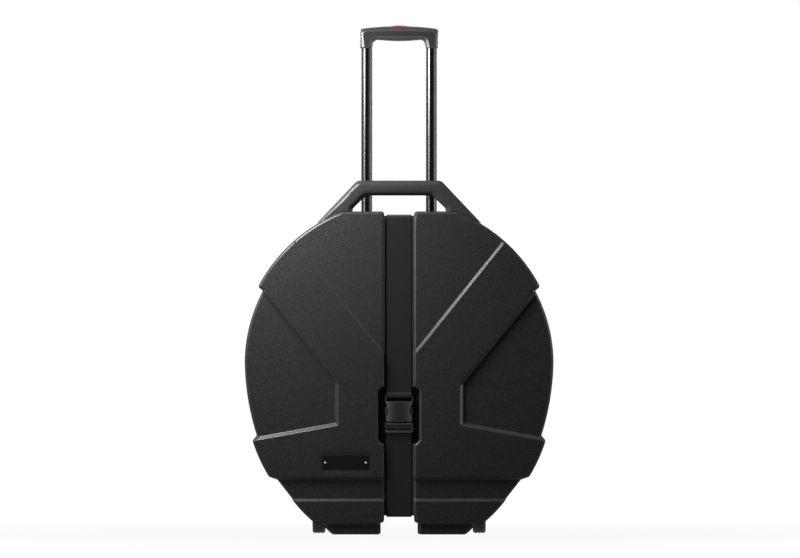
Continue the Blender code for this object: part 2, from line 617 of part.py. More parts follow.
def build_buckle():
    """The side-release buckle: socket above, plug and its two prongs below."""
    near, far = buckle_planes()
    middle = (near + far) / 2
    socket = loft([
        along_y(socket_outline(STRAP_THICK), near),
        along_y(socket_outline(0), near + STRAP_THICK),
        along_y(socket_outline(0), far),
    ], "buckle_socket", "acetal")
    slot_half = STRAP_WIDTH / 2 + GAP
    cut(socket, box(
        (-slot_half, near - OVERRUN, BUCKLE_SLOT_LOW), (slot_half, far + OVERRUN, BUCKLE_TOP_Z + OVERRUN)))
    bar_y = strap_planes()[0] - STRAP_THICK - GAP
    bar_half = slot_half + (BUCKLE_HALF - slot_half) / 2
    weld(socket, box(
        (-bar_half, bar_y - BUCKLE_BAR, BUCKLE_BAR_LOW), (bar_half, bar_y, BUCKLE_BAR_LOW + BUCKLE_BAR)))
    inner = SOCKET_BODY_HALF - BUCKLE_WALL
    cut(socket, box(
        (-inner, near + BUCKLE_WALL, SOCKET_BODY_LOW - OVERRUN), (inner, far - BUCKLE_WALL, WINDOW_HIGH)))
    for side in (1, -1):
        xs = sorted((side * (BUCKLE_HALF - WINDOW_DEPTH), side * 2 * BUCKLE_HALF))
        cut(socket, box((xs[0], near - OVERRUN, WINDOW_LOW), (xs[1], far + OVERRUN, WINDOW_HIGH)))
    body_high = PLUG_TOP
    plug_half = [
        (BUCKLE_HALF - LADDER_BAR / 2, body_high), (BUCKLE_HALF, body_high - LADDER_BAR / 2),
        (BUCKLE_HALF, PLUG_LOW + LADDER_BAR), (BUCKLE_HALF - LADDER_BAR, PLUG_LOW),
    ]
    plug = prism(mirrored(plug_half), near + STRAP_THICK / 2, far, "buckle_plug", "acetal")
    low = PLUG_LOW + LADDER_BAR
    cut(plug, box((-slot_half, near - OVERRUN, low), (slot_half, far + OVERRUN, low + LADDER_SLOT)))
    passage_y = strap_planes()[0] - STRAP_THICK - GAP
    cut(plug, box(
        (-slot_half, passage_y, PLUG_LOW - OVERRUN), (slot_half, far + OVERRUN, low + LADDER_SLOT)))
    tongue = box(
        (-TONGUE_HALF, middle - TONGUE_THICK / 2, body_high - LADDER_BAR / 2),
        (TONGUE_HALF, middle + TONGUE_THICK / 2, PLUG_TONGUE_TOP))
    weld(plug, tongue)
    for side, name in ((1, "buckle_prong_right"), (-1, "buckle_prong_left")):
        foot_x, foot_z = prong_pivot()
        out, low_z = BUCKLE_HALF, foot_z
        points = [
            (foot_x + PRONG_WIDTH / 2, low_z), (foot_x - PRONG_WIDTH / 2, low_z),
            (foot_x - PRONG_WIDTH / 2, PRONG_TOP - PRONG_WIDTH), (foot_x, PRONG_TOP),
            (out - PRONG_WIDTH / 3, PRONG_TOP - PRONG_WIDTH / 3), (out, PRONG_TOP - PRONG_WIDTH),
            (out, WINDOW_LOW + PRONG_WIDTH), (out - WINDOW_DEPTH + GAP, WINDOW_LOW + GAP),
            (foot_x + PRONG_WIDTH / 2, low_z + PRONG_WIDTH),
        ]
        if side < 0:
            points = side_mirror(points)
        prong = prism(points, middle - PRONG_THICK / 2, middle + PRONG_THICK / 2, name, "acetal")
        pivot = Vector((side * foot_x, middle, foot_z))
        prong.data.transform(Matrix.Translation(-pivot))
        prong.location = pivot


def prong_pivot():
    """Where a prong springs from the plug, on its right side."""
    inner = SOCKET_BODY_HALF - BUCKLE_WALL - PRONG_WIDTH / 2 - 4 * GAP
    return inner - SQUEEZE_ROOM / 4, PLUG_TOP + GAP


def socket_outline(inset):
    """The buckle socket's outline: a wide frame for the strap over a waisted body."""
    frame = BUCKLE_HALF - inset / 2
    body = SOCKET_BODY_HALF - inset / 2
    low = SOCKET_BODY_LOW
    return mirrored([
        (frame - LADDER_BAR / 2, BUCKLE_TOP_Z - inset / 2), (frame, BUCKLE_TOP_Z - LADDER_BAR / 2),
        (frame, WINDOW_HIGH + LADDER_BAR), (body, WINDOW_HIGH + GAP), (body, low),
    ])


def build_plate():
    """The bare plate on the lid and its two rivets."""
    half, tall, corner = PLATE_WIDTH / 2, PLATE_HEIGHT / 2, PLATE_CORNER
    corners = [
        (half - corner, tall), (half, tall - corner), (half, -tall + corner), (half - corner, -tall),
    ]
    points = [(PLATE_X + x, PLATE_Z + z) for x, z in mirrored(corners)]
    far = FRONT_Y + PLATE_SINK - GAP
    plate = prism(points, far - PLATE_THICK, far, "name_plate", "plate")
    for x, name in zip(rivet_places(), ("plate_rivet_left", "plate_rivet_right")):
        start = (x, far - PLATE_THICK - OVERRUN, PLATE_Z)
        cut(plate, rod(RIVET_RADIUS + GAP, start, 2 * OVERRUN, "y", SMALL_STEPS))
        head_y = far - PLATE_THICK - GAP - RIVET_HEAD
        profile = [
            (0, 0), (RIVET_RADIUS, 0), (2 * RIVET_RADIUS, RIVET_HEAD), (RIVET_RADIUS, RIVET_HEAD),
            (RIVET_RADIUS, RIVET_HEAD + RIVET_LENGTH), (0, RIVET_HEAD + RIVET_LENGTH),
        ]
        turned(profile, (x, head_y, PLATE_Z), "y", SMALL_STEPS, name, "steel")


def build_fixed_tubes():
    """The outer tubes in their grooves, each with a collar at its top and a foot below."""
    collar_low, foot_low = bracket_heights()
    tube_low = foot_low + WALL + GAP
    tube_top = BODY_TOP - WALL - 2 * GAP
    half = GROOVE_HALF - GAP
    wing = GROOVE_HALF + FLANGE_WING
    for side, word in ((1, "right"), (-1, "left")):
        x = side * TUBE_X
        inner = FIXED_TUBE_RADIUS - FIXED_TUBE_WALL
        pipe(FIXED_TUBE_RADIUS, inner, (x, TUBE_Y, tube_low), tube_top - tube_low,
             name="fixed_tube_" + word, look="steel")
        for low, part in ((collar_low, "tube_collar_"), (foot_low, "tube_foot_")):
            bracket = box((x - half, GROOVE_Y + GAP, low), (x + half, FLANGE_Y, low + BRACKET_HEIGHT),
                          part + word, "acetal")
            weld(bracket, box((x - wing, BACK_Y + GAP, low), (x + wing, FLANGE_Y, low + BRACKET_HEIGHT)))
            start = low - OVERRUN if low == collar_low else tube_low - GAP
            length = tube_top + GAP - start if low == collar_low else BRACKET_HEIGHT
            cut(bracket, rod(FIXED_TUBE_RADIUS + GAP, (x, TUBE_Y, start), length))
            if low == collar_low:
                cut(bracket, rod(HANDLE_TUBE_RADIUS + GAP, (x, TUBE_Y, low), 2 * BRACKET_HEIGHT))
            for way in (-1, 1):
                screw_x = x + way * (GROOVE_HALF + FLANGE_WING / 2)
                height = low + BRACKET_HEIGHT / 2
                cut(bracket, rod(SCREW_RADIUS + GAP, (screw_x, BACK_Y - OVERRUN, height), 2 * OVERRUN, "y",
                                 SMALL_STEPS))
                place = "outer" if way * side > 0 else "inner"
                end = SCREW_LENGTH + SCREW_HEAD_HEIGHT
                profile = [
                    (0, 0), (SCREW_RADIUS, 0), (SCREW_RADIUS, SCREW_LENGTH),
                    (SCREW_HEAD_RADIUS, SCREW_LENGTH), (SCREW_HEAD_RADIUS, end - SCREW_HEAD_HEIGHT / 2),
                    (SCREW_RADIUS, end), (0, end),
                ]
                turned(profile, (screw_x, FLANGE_Y + GAP - SCREW_LENGTH, height), "y", SMALL_STEPS,
                       f"{part}screw_{place}_{word}", "steel")


def pin_height():
    """The Z of the lock pins near the lower ends of the handle tubes."""
    return BODY_TOP - TUBE_OVERLAP + PIN_RISE + BUSH_LENGTH


def build_handle_tubes():
    """The sliding tubes, the bushes on their lower ends, and the lock rods and pins inside."""
    low = BODY_TOP - TUBE_OVERLAP
    top = SOCKET_LOW_Z + SOCKET_WIDTH / 2
    bore = HANDLE_TUBE_RADIUS - HANDLE_TUBE_WALL
    for side, word in ((1, "right"), (-1, "left")):
        x = side * TUBE_X
        tube = pipe(HANDLE_TUBE_RADIUS, bore, (x, TUBE_Y, low), top - low,
                    name="handle_tube_" + word, look="tube")
        pin_z = pin_height()
        cut(tube, rod(PIN_RADIUS + GAP, (x, TUBE_Y, pin_z), 2 * HANDLE_TUBE_RADIUS, "y", SMALL_STEPS))
        flange = FIXED_TUBE_RADIUS - FIXED_TUBE_WALL - GAP
        plug = bore - GAP
        profile = [
            (plug - HANDLE_TUBE_WALL, -BUSH_FLANGE - GAP), (flange, -BUSH_FLANGE - GAP), (flange, -GAP),
            (plug, -GAP), (plug, BUSH_LENGTH), (plug - HANDLE_TUBE_WALL, BUSH_LENGTH),
        ]
        turned(profile, (x, TUBE_Y, low), name="tube_bush_" + word, look="acetal")
        rod(PIN_RADIUS, (x, TUBE_Y + HANDLE_TUBE_RADIUS - PIN_LENGTH, pin_z), PIN_LENGTH, "y", SMALL_STEPS,
            "lock_pin_" + word, "steel")


def grip_top(x):
    """The height of the grip's arched top at a place across it."""
    share = abs(x) / (GRIP_WIDTH / 2)
    return SOCKET_LOW_Z + GRIP_HEIGHT - GRIP_ARCH * share * share


def build_grip():
    """The tow grip: an arched bar with a socket at each end, bored for the tubes."""
    half = GRIP_WIDTH / 2
    under = grip_top(0) - GRIP_BAR
    inner = half - SOCKET_WIDTH
    corner = SOCKET_WIDTH / 4
    steps = ARC_STEPS // 2
    top = [(half * step / steps, grip_top(half * step / steps)) for step in range(steps)]
    right = top + [
        (half - corner / 2, grip_top(half)), (half, grip_top(half) - corner),
        (half, SOCKET_LOW_Z + corner / 2), (half - corner / 4, SOCKET_LOW_Z),
        (inner + corner / 4, SOCKET_LOW_Z), (inner, SOCKET_LOW_Z + corner),
        (inner - corner, under), (0, under - GRIP_ARCH / 4),
    ]
    outline = right + [(-x, z) for x, z in reversed(right[1:-1])]
    middle = Vector((0, SOCKET_LOW_Z + GRIP_HEIGHT / 2))
    slim = 2 * LOOP_ROUND / 3

    def shrunk(inset):
        sx, sz = 1 - inset / half, 1 - inset / GRIP_HEIGHT
        return [(middle.x + (x - middle.x) * sx, middle.y + (z - middle.y) * sz) for x, z in outline]

    near, far = TUBE_Y - GRIP_DEPTH / 2, TUBE_Y + GRIP_DEPTH / 2
    grip = loft([
        along_y(shrunk(slim), near),
        along_y(shrunk(slim / 3), near + slim / 3),
        along_y(outline, near + slim),
        along_y(outline, far - slim),
        along_y(shrunk(slim / 3), far - slim / 3),
        along_y(shrunk(slim), far),
    ], "grip", "acetal")
    seat = SOCKET_LOW_Z + SOCKET_WIDTH / 2 + GAP
    yoke_low, yoke_top = yoke_heights()
    for side in (1, -1):
        x = side * TUBE_X
        start = SOCKET_LOW_Z - OVERRUN
        cut(grip, rod(HANDLE_TUBE_RADIUS + GAP, (x, TUBE_Y, start), seat - start))
        cut(grip, rod(ROD_RADIUS + 2 * GAP, (x, TUBE_Y, start), yoke_low - start, steps=SMALL_STEPS))
        hole_z = SOCKET_LOW_Z + SOCKET_WIDTH / 4
        length = TUBE_Y - near + OVERRUN - HANDLE_TUBE_RADIUS
        cut(grip, rod(SCREW_RADIUS + GAP, (x, near - OVERRUN, hole_z), length, "y", SMALL_STEPS))
    reach = TUBE_X + YOKE_DEPTH / 2 + GAP
    deep = YOKE_DEPTH / 2 + 2 * GAP
    cut(grip, box(
        (-reach, TUBE_Y - deep, yoke_low - BUTTON_TRAVEL - GAP), (reach, TUBE_Y + deep, yoke_top + GAP)))
    across, along = BUTTON_WIDTH / 2 + GAP, BUTTON_DEPTH / 2 + GAP
    cut(grip, box(
        (-across, TUBE_Y - along, yoke_low + GAP), (across, TUBE_Y + along, grip_top(0) + OVERRUN)))
    spring_low = yoke_low - BUTTON_TRAVEL - SPRING_ROOM
    cut(grip, rod(SPRING_RADIUS + 2 * GAP, (0, TUBE_Y, spring_low), SPRING_ROOM + BUTTON_TRAVEL,
                  steps=SMALL_STEPS))
    for side, word in ((1, "right"), (-1, "left")):
        head_y = near + GAP
        shank = GRIP_DEPTH / 2 - HANDLE_TUBE_RADIUS - 2 * GAP
        profile = [(0, 0), (SCREW_RADIUS, 0), (SCREW_RADIUS, shank), (0, shank)]
        turned(profile, (side * TUBE_X, head_y, SOCKET_LOW_Z + SOCKET_WIDTH / 4), "y", SMALL_STEPS,
               "grip_screw_" + word, "steel")


def yoke_heights():
    """The yoke's low and high Z, under the button."""
    top = grip_top(0) - BUTTON_HEIGHT - GAP
    return top - YOKE_HEIGHT, top


def build_button():
    """The red button, the yoke under it, its spring, and the two rods down the tubes."""
    yoke_low, yoke_top = yoke_heights()
    half, deep = BUTTON_WIDTH / 2, BUTTON_DEPTH / 2
    top = grip_top(0) + BUTTON_PROUD
    shares = [1 - 2 * step / ARC_STEPS for step in range(ARC_STEPS + 1)]
    crown = [(half * share, top - BUTTON_PROUD * share ** 2) for share in shares]
    prism(crown + [(-half, yoke_top + GAP), (half, yoke_top + GAP)], TUBE_Y - deep, TUBE_Y + deep,
          "release_button", "red")
    reach = TUBE_X + YOKE_DEPTH / 2
    box((-reach, TUBE_Y - YOKE_DEPTH / 2, yoke_low), (reach, TUBE_Y + YOKE_DEPTH / 2, yoke_top),
        "push_yoke", "acetal")
    rod_low = pin_height() + PIN_RADIUS + BUTTON_TRAVEL + 2 * GAP
    for side, word in ((1, "right"), (-1, "left")):
        rod(ROD_RADIUS, (side * TUBE_X, TUBE_Y, rod_low), yoke_low - GAP - rod_low, steps=SMALL_STEPS,
            name="push_rod_" + word, look="steel")
    spring_low = yoke_low - BUTTON_TRAVEL - SPRING_ROOM + GAP
    height = yoke_low - GAP - spring_low
    pipe(SPRING_RADIUS, SPRING_RADIUS - 2 * SPRING_WIRE, (0, TUBE_Y, spring_low), height, steps=SMALL_STEPS,
         name="button_spring", look="steel")


def build_wheels():
    """Two wheels on cantilevered axle bolts, each with a tyre, hub, washer and nut."""
    tyre_in = WHEEL_RADIUS - TYRE_THICK
    width, round_off = WHEEL_WIDTH, TYRE_ROUND
    tyre = [
        (tyre_in, 0), (WHEEL_RADIUS - round_off, 0), (WHEEL_RADIUS - round_off / 3, round_off / 3),
        (WHEEL_RADIUS, round_off), (WHEEL_RADIUS, width - round_off),
        (WHEEL_RADIUS - round_off / 3, width - round_off / 3), (WHEEL_RADIUS - round_off, width),
        (tyre_in, width),
    ]
    bore, rim = AXLE_RADIUS + GAP, tyre_in - GAP
    dish = WHEEL_WIDTH / 4
    hub = [
        (bore, GAP), (HUB_BOSS_RADIUS, GAP), (HUB_BOSS_RADIUS + dish / 2, dish), (rim - dish / 2, dish),
        (rim, GAP), (rim, width - GAP), (rim - dish / 2, width - dish),
        (HUB_BOSS_RADIUS + dish / 2, width - dish),
        (HUB_BOSS_RADIUS, width - AXLE_HEAD), (bore, width - AXLE_HEAD),
    ]
    well_x = well_corner()[0]
    inner_x = WHEEL_OUTER_X - WHEEL_WIDTH
    head_x = WHEEL_OUTER_X - AXLE_HEAD + GAP
    nut_x = well_x - WALL - GAP - NUT_THICK
    spacer = inner_x - well_x - 2 * GAP
    axle_low = nut_x - WALL / 2
    length = head_x - axle_low
    axle = [
        (0, 0), (AXLE_RADIUS, 0), (AXLE_RADIUS, length), (AXLE_HEAD_RADIUS, length),
        (AXLE_HEAD_RADIUS, length + AXLE_HEAD / 2), (AXLE_RADIUS, length + AXLE_HEAD - GAP),
        (0, length + AXLE_HEAD - GAP),
    ]
    nut_bore = AXLE_RADIUS + GAP
    nut = [(0, 0), (NUT_RADIUS, 0), (NUT_RADIUS, NUT_THICK), (0, NUT_THICK)]
    washer = [(nut_bore, 0), (WASHER_RADIUS, 0), (WASHER_RADIUS, spacer), (nut_bore, spacer)]
    pieces = (
        ("wheel_tyre_", tyre, inner_x, 32, "tread"), ("wheel_hub_", hub, inner_x, ROUND_STEPS, "acetal"),
        ("axle_", axle, axle_low, SMALL_STEPS, "steel"), ("axle_nut_", nut, nut_x, 6, "steel"),
        ("axle_washer_", washer, well_x + GAP, SMALL_STEPS, "steel"),
    )
    for side, word in ((1, "right"), (-1, "left")):
        for name, profile, start, steps, look in pieces:
            made = turned(profile, (start, 0, 0), "x", steps, name + word, look)
            if name == "axle_nut_":
                cut(made, rod(nut_bore, (start - OVERRUN, 0, 0), 2 * OVERRUN, "x", SMALL_STEPS))
            if side < 0:
                made.data.transform(Matrix.Scale(-1, 4, (1, 0, 0)))
                made.data.flip_normals()
            made.location = (0, WHEEL_Y, WHEEL_RADIUS)


def build_post():
    """The post that the cymbals are stacked on, with its sleeve, felt and wing nut."""
    pad_near = BACK_FLOOR_Y - GAP
    flange_y = pad_near - POST_FLANGE_THICK
    tip_y = flange_y - POST_LENGTH
    end_y = BACK_FLOOR_Y + POST_SINK
    stem = end_y - tip_y
    flange_at = flange_y - tip_y
    post = [
        (0, 0), (POST_RADIUS - GAP, 0), (POST_RADIUS, GAP), (POST_RADIUS, flange_at),
        (POST_FLANGE_RADIUS, flange_at), (POST_FLANGE_RADIUS, flange_at + POST_FLANGE_THICK),
        (POST_RADIUS, flange_at + POST_FLANGE_THICK),
        (POST_RADIUS, stem), (0, stem),
    ]
    turned(post, (0, tip_y, POST_Z), "y", name="center_post", look="steel")
    sleeve_y = flange_y - GAP - SLEEVE_LENGTH
    sleeve_radius = POST_RADIUS + GAP + SLEEVE_WALL
    pipe(sleeve_radius, POST_RADIUS + GAP, (0, sleeve_y, POST_Z), SLEEVE_LENGTH, "y",
         name="post_sleeve", look="acetal")
    felt_y = sleeve_y - GAP - FELT_THICK
    pipe(FELT_RADIUS, POST_RADIUS + GAP, (0, felt_y, POST_Z), FELT_THICK, "y", name="post_felt", look="foam")
    wing_y = felt_y - GAP - WING_HUB_HEIGHT
    hub = pipe(WING_HUB_RADIUS, POST_RADIUS + GAP, (0, wing_y, 0), WING_HUB_HEIGHT, "y", SMALL_STEPS,
               "wing_nut", "steel")
    reach = WING_SPAN / 2
    for side in (1, -1):
        near_x, far_x = side * (POST_RADIUS + SLEEVE_WALL), side * reach
        points = [
            (near_x, -WING_THICK / 2), (far_x, -WING_THICK / 2),
            (far_x, WING_THICK / 2), (near_x, WING_THICK / 2),
        ]
        if side < 0:
            points = points[::-1]
        wing_far = wing_y + WING_HUB_HEIGHT - WALL
        weld(hub, prism(points, wing_far - WING_HEIGHT, wing_far))
    hub.location = (0, 0, POST_Z)


build_front_shell()
build_rear_shell()
build_pads()
build_straps()
build_buckle()
build_plate()
build_fixed_tubes()
build_handle_tubes()
build_grip()
build_button()
build_wheels()
build_post()
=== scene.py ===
"""The looks of a wheeled cymbal case: two moulded shells, their strap, and a pull-out tow handle."""

import math

import bmesh
import bpy
from mathutils import Matrix, Vector


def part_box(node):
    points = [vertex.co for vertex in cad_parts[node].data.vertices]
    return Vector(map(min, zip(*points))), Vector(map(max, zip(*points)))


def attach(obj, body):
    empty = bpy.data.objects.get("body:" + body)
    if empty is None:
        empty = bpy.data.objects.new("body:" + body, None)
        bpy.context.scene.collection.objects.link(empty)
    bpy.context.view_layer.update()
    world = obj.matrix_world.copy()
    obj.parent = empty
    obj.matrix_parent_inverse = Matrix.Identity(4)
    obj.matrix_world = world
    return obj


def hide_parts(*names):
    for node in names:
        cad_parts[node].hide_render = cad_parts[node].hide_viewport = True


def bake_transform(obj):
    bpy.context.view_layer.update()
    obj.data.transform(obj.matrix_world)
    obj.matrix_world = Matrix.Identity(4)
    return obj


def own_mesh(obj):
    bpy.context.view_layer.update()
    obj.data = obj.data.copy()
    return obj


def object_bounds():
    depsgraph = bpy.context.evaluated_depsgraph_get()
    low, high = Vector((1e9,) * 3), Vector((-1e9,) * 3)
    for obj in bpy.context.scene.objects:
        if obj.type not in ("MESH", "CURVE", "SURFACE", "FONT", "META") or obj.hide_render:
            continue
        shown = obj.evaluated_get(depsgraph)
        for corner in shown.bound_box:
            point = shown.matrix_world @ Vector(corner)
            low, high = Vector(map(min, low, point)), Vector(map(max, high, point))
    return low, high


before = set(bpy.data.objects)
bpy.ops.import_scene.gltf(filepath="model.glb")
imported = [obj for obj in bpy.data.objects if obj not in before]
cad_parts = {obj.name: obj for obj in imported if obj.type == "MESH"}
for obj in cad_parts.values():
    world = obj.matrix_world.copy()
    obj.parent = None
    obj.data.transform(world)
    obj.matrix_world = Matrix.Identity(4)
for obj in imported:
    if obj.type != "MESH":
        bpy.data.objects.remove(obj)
cad_low, cad_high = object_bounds()


# The studio: a very long lens level with the middle of the case, a white floor, and soft light
# that comes mostly from the upper left.
CAMERA_DISTANCE = 24.0
VIEW_WIDTH, VIEW_MIDDLE_X, VIEW_MIDDLE_Z = 1.5970, 0.0018, 0.5106
SENSOR = 36.0

camera_data = bpy.data.cameras.new("camera")
camera_data.sensor_width = SENSOR
camera_data.lens = SENSOR * CAMERA_DISTANCE / VIEW_WIDTH
camera = bpy.data.objects.new("camera", camera_data)
camera.location = (VIEW_MIDDLE_X, cad_low[1] - CAMERA_DISTANCE, VIEW_MIDDLE_Z)
camera.rotation_euler = (math.radians(90), 0, 0)
bpy.context.scene.collection.objects.link(camera)
bpy.context.scene.camera = camera
bpy.context.scene.view_settings.view_transform = "Standard"


def emptied(owner):
    """The node tree of a material or world, with nothing in it."""
    owner.use_nodes = True
    owner.node_tree.nodes.clear()
    return owner.node_tree


def add(tree, kind, inputs=(), **settings):
    """A new node with its settings. Each input is a plain value, or the output that feeds it."""
    made = tree.nodes.new("ShaderNode" + kind)
    for name, value in settings.items():
        setattr(made, name, value)
    for name, value in dict(inputs).items():
        if isinstance(value, bpy.types.NodeSocket):
            tree.links.new(value, made.inputs[name])
        else:
            made.inputs[name].default_value = value
    return made


def calculated(tree, operation, *values):
    """What a Math node makes of values, each a plain number or another node's output."""
    return add(tree, "Math", dict(enumerate(values)), operation=operation).outputs[0]


def seen_directly(tree):
    """A value that is 1 for camera, glossy and transmission rays."""
    path = add(tree, "LightPath")
    total = path.outputs["Is Camera Ray"]
    for name in ("Is Glossy Ray", "Is Transmission Ray"):
        total = calculated(tree, "MAXIMUM", total, path.outputs[name])
    return total


floor_finish = bpy.data.materials.new("floor_white")
tree = emptied(floor_finish)
bounce = add(tree, "BsdfDiffuse", {"Color": (0.08, 0.08, 0.08, 1)}).outputs[0]
glow = add(tree, "Emission", {"Strength": 1.0}).outputs[0]
away = add(tree, "VectorMath", {0: add(tree, "TexCoord").outputs["Object"]}, operation="LENGTH")
fade = add(tree, "MapRange", {
    "Value": away.outputs["Value"], "From Min": 0.30, "From Max": 1.60, "To Min": 0.94,
}, interpolation_type="SMOOTHSTEP")
near = add(tree, "MixShader", {0: fade.outputs["Result"], 1: bounce, 2: glow}).outputs[0]
pick = add(tree, "MixShader", {0: seen_directly(tree), 1: bounce, 2: near})
add(tree, "OutputMaterial", {"Surface": pick.outputs[0]})

mesh = bmesh.new()
bmesh.ops.create_circle(mesh, cap_ends=True, radius=40, segments=96)
floor_data = bpy.data.meshes.new("floor")
mesh.to_mesh(floor_data)
mesh.free()
floor = bpy.data.objects.new("floor", floor_data)
floor_data.materials.append(floor_finish)
bpy.context.scene.collection.objects.link(floor)

world = bpy.data.worlds.new("studio")
bpy.context.scene.world = world
tree = emptied(world)
ambient = add(tree, "Background", {"Color": (1, 1, 1, 1), "Strength": 0.03}).outputs[0]
backdrop = add(tree, "Background", {"Color": (1, 1, 1, 1), "Strength": 1.0}).outputs[0]
pick = add(tree, "MixShader", {0: seen_directly(tree), 1: ambient, 2: backdrop})
add(tree, "OutputWorld", {"Surface": pick.outputs[0]})

for name, place, aim, wide, tall, power in (
    ("key_softbox", (-0.45, -0.31, 0.99), (-0.20, 0, 0.56), 0.36, 0.36, 20),
    ("left_strip", (-1.60, -1.00, 0.90), (0, 0, 0.75), 0.11, 0.8, 17),
    ("front_panel", (-1.25, -2.30, 0.95), (0, 0, 0.40), 1.1, 0.9, 4),
    ("right_strip", (1.90, -0.20, 0.80), (0, 0, 0.50), 0.3, 1.3, 16),
    ("back_left", (-1.90, 1.80, 1.50), (0, 0, 0.45), 1.0, 1.2, 95),
    ("back_right", (1.80, 2.00, 1.00), (0, 0, 0.45), 1.0, 1.2, 45),
):
    lamp_data = bpy.data.lights.new(name, "AREA")
    lamp_data.shape = "RECTANGLE"
    lamp_data.size, lamp_data.size_y = wide, tall
    lamp_data.energy = power
    lamp = bpy.data.objects.new(name, lamp_data)
    lamp.location = place
    lamp.visible_camera = False
    lamp.rotation_euler = (Vector(aim) - lamp.location).to_track_quat("-Z", "Y").to_euler()
    bpy.context.scene.collection.objects.link(lamp)


# The two shells, moulded in black polyethylene with a pebbled face. Each is a tray of even wall
# with drafted sides and sunk panels. The lid lifts off the tongue that stands on the base's rim.
lid_low, lid_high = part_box("front_shell")
base_low, base_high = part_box("rear_shell")
HALF_WIDTH, TOP_Z, BOTTOM_Z = lid_high.x, lid_high.z, 0.022
WALL, GAP = 0.004, 0.0003
PARTING_Y = lid_high.y + GAP
TONGUE_LENGTH, TONGUE_INSET = PARTING_Y - base_low.y, 0.0023

# Corners of the outline, as shares of half the width and of the height above the bottom.
CORNER_SHARES = {
    "top": (0.3658, 1.0000),
    "band": (0.9141, 0.7580),
    "side": (0.8817, 0.7452),
    "widest": (1.0000, 0.5208),
    "flank": (0.9215, 0.2804),
    "hip": (0.9499, 0.2644),
    "waist": (0.8433, 0.1482),
    "waist_high": (0.7884, 0.1386),
    "waist_low": (0.6947, 0.0793),
    "base": (0.6888, 0.0721),
    "bottom": (0.5486, 0.0000),
    "band_foot": (0.3910, 0.4519),
    "band_head": (0.9564, 0.7982),
    "shoulder": (0.3910, 0.3144),
    "shoulder_end": (1.0372, 0.2558),
    "crease": (0.0000, 0.4778),
    "crease_end": (0.7431, 0.9381),
}
CORNERS = {
    name: Vector((across * HALF_WIDTH, BOTTOM_Z + up * (TOP_Z - BOTTOM_Z)))
    for name, (across, up) in CORNER_SHARES.items()
}
UPPER_RADIUS, SIDE_RADIUS, FLANK_RADIUS = 0.3184, 0.3096, 0.5104
LOWER_RADIUS, BASE_RADIUS = 0.3078, 0.2686
CORNER_ROUND = 0.006
CHANNEL_HALF = 0.030
CHANNEL_TOP_Z, CHANNEL_LOW_Z = TOP_Z - 0.0085, BOTTOM_Z + 0.0145
FOOT_INNER_X, FOOT_OUTER_X, FOOT_FLARE = 0.037, 0.133, 0.025


def arc(start, end, radius, steps=20):
    """Points down an arc that bulges to the right between two named corners."""
    high, low = CORNERS[start], CORNERS[end]
    chord = low - high
    across = Vector((chord.y, -chord.x)).normalized()
    centre = (high + low) / 2 + across * math.sqrt(max(radius ** 2 - (chord.length / 2) ** 2, 0))
    first = math.asin((high.y - centre.y) / radius)
    last = math.asin((low.y - centre.y) / radius)
    angles = [first + (last - first) * step / steps for step in range(steps + 1)]
    return [centre + radius * Vector((math.cos(angle), math.sin(angle))) for angle in angles]


def rounded_corner(before, spot, after, radius, steps=6):
    """Points down the arc that rounds one corner of an outline; just the corner for radius 0."""
    if radius == 0:
        return [spot]
    back = (before - spot).normalized()
    ahead = (after - spot).normalized()
    half_angle = back.angle(ahead) / 2
    centre = spot + (back + ahead).normalized() * radius / math.sin(half_angle)
    first = (spot + back * radius / math.tan(half_angle) - centre).normalized()
    last = (spot + ahead * radius / math.tan(half_angle) - centre).normalized()
    return [centre + radius * first.slerp(last, step / steps) for step in range(steps + 1)]


def filleted(corners):
    """An outline from (corner, radius) pairs, with an arc at each corner that has a radius."""
    points = []
    for before, here, after in zip(corners[-1:] + corners[:-1], corners, corners[1:] + corners[:1]):
        points += rounded_corner(before[0], here[0], after[0], here[1])
    return points


def sharp_corners(points):
    """Points of an outline as corners that aren't rounded."""
    return [(point, 0) for point in points]


def shell_outline():
    """The outline where the shells part, with the strap's notches and the feet."""
    upper = arc("top", "band", UPPER_RADIUS)
    side = arc("side", "widest", SIDE_RADIUS)
    flank = arc("widest", "flank", FLANK_RADIUS)
    lower = arc("hip", "waist", LOWER_RADIUS, 8)
    base = arc("base", "bottom", BASE_RADIUS, 8)
    right = [
        (Vector((CHANNEL_HALF, CHANNEL_TOP_Z)), 0),
        (Vector((CHANNEL_HALF, TOP_Z)), CORNER_ROUND),
        *sharp_corners(upper[:-1]),
        (upper[-1], CORNER_ROUND),
        *sharp_corners(side),
        *sharp_corners(flank[1:]),
        (lower[0], CORNER_ROUND),
        *sharp_corners(lower[1:-1]),
        (lower[-1], CORNER_ROUND),
        (CORNERS["waist_high"], 0),
        (CORNERS["waist_low"], 0),
        *sharp_corners(base[:-1]),
        (base[-1], CORNER_ROUND),
        (Vector((FOOT_OUTER_X + FOOT_FLARE, BOTTOM_Z)), 0),
        (Vector((FOOT_OUTER_X, 0)), CORNER_ROUND),
        (Vector((FOOT_INNER_X, 0)), CORNER_ROUND),
        (Vector((FOOT_INNER_X, BOTTOM_Z)), 0),
        (Vector((CHANNEL_HALF, BOTTOM_Z)), CORNER_ROUND),
        (Vector((CHANNEL_HALF, CHANNEL_LOW_Z)), 0),
    ]
    left = [(Vector((-point.x, point.y)), radius) for point, radius in reversed(right)]
    return filleted(right + left)


def edge_line(start, end):
    """A panel's edge through two places: a point on it and the normal to its inside, the left."""
    start, end = Vector(start), Vector(end)
    along = (end - start).normalized()
    return start, Vector((-along.y, along.x))


def ramp(distance, slant, soft):
    """How far down a slanted wall a place is, from 0 to 1, with both its corners rounded."""
    def area(reach):
        if reach < 0:
            return 0
        return reach * reach / (2 * slant) if reach < slant else reach - slant / 2
    return (area(distance + soft) - area(distance - soft)) / (2 * soft)


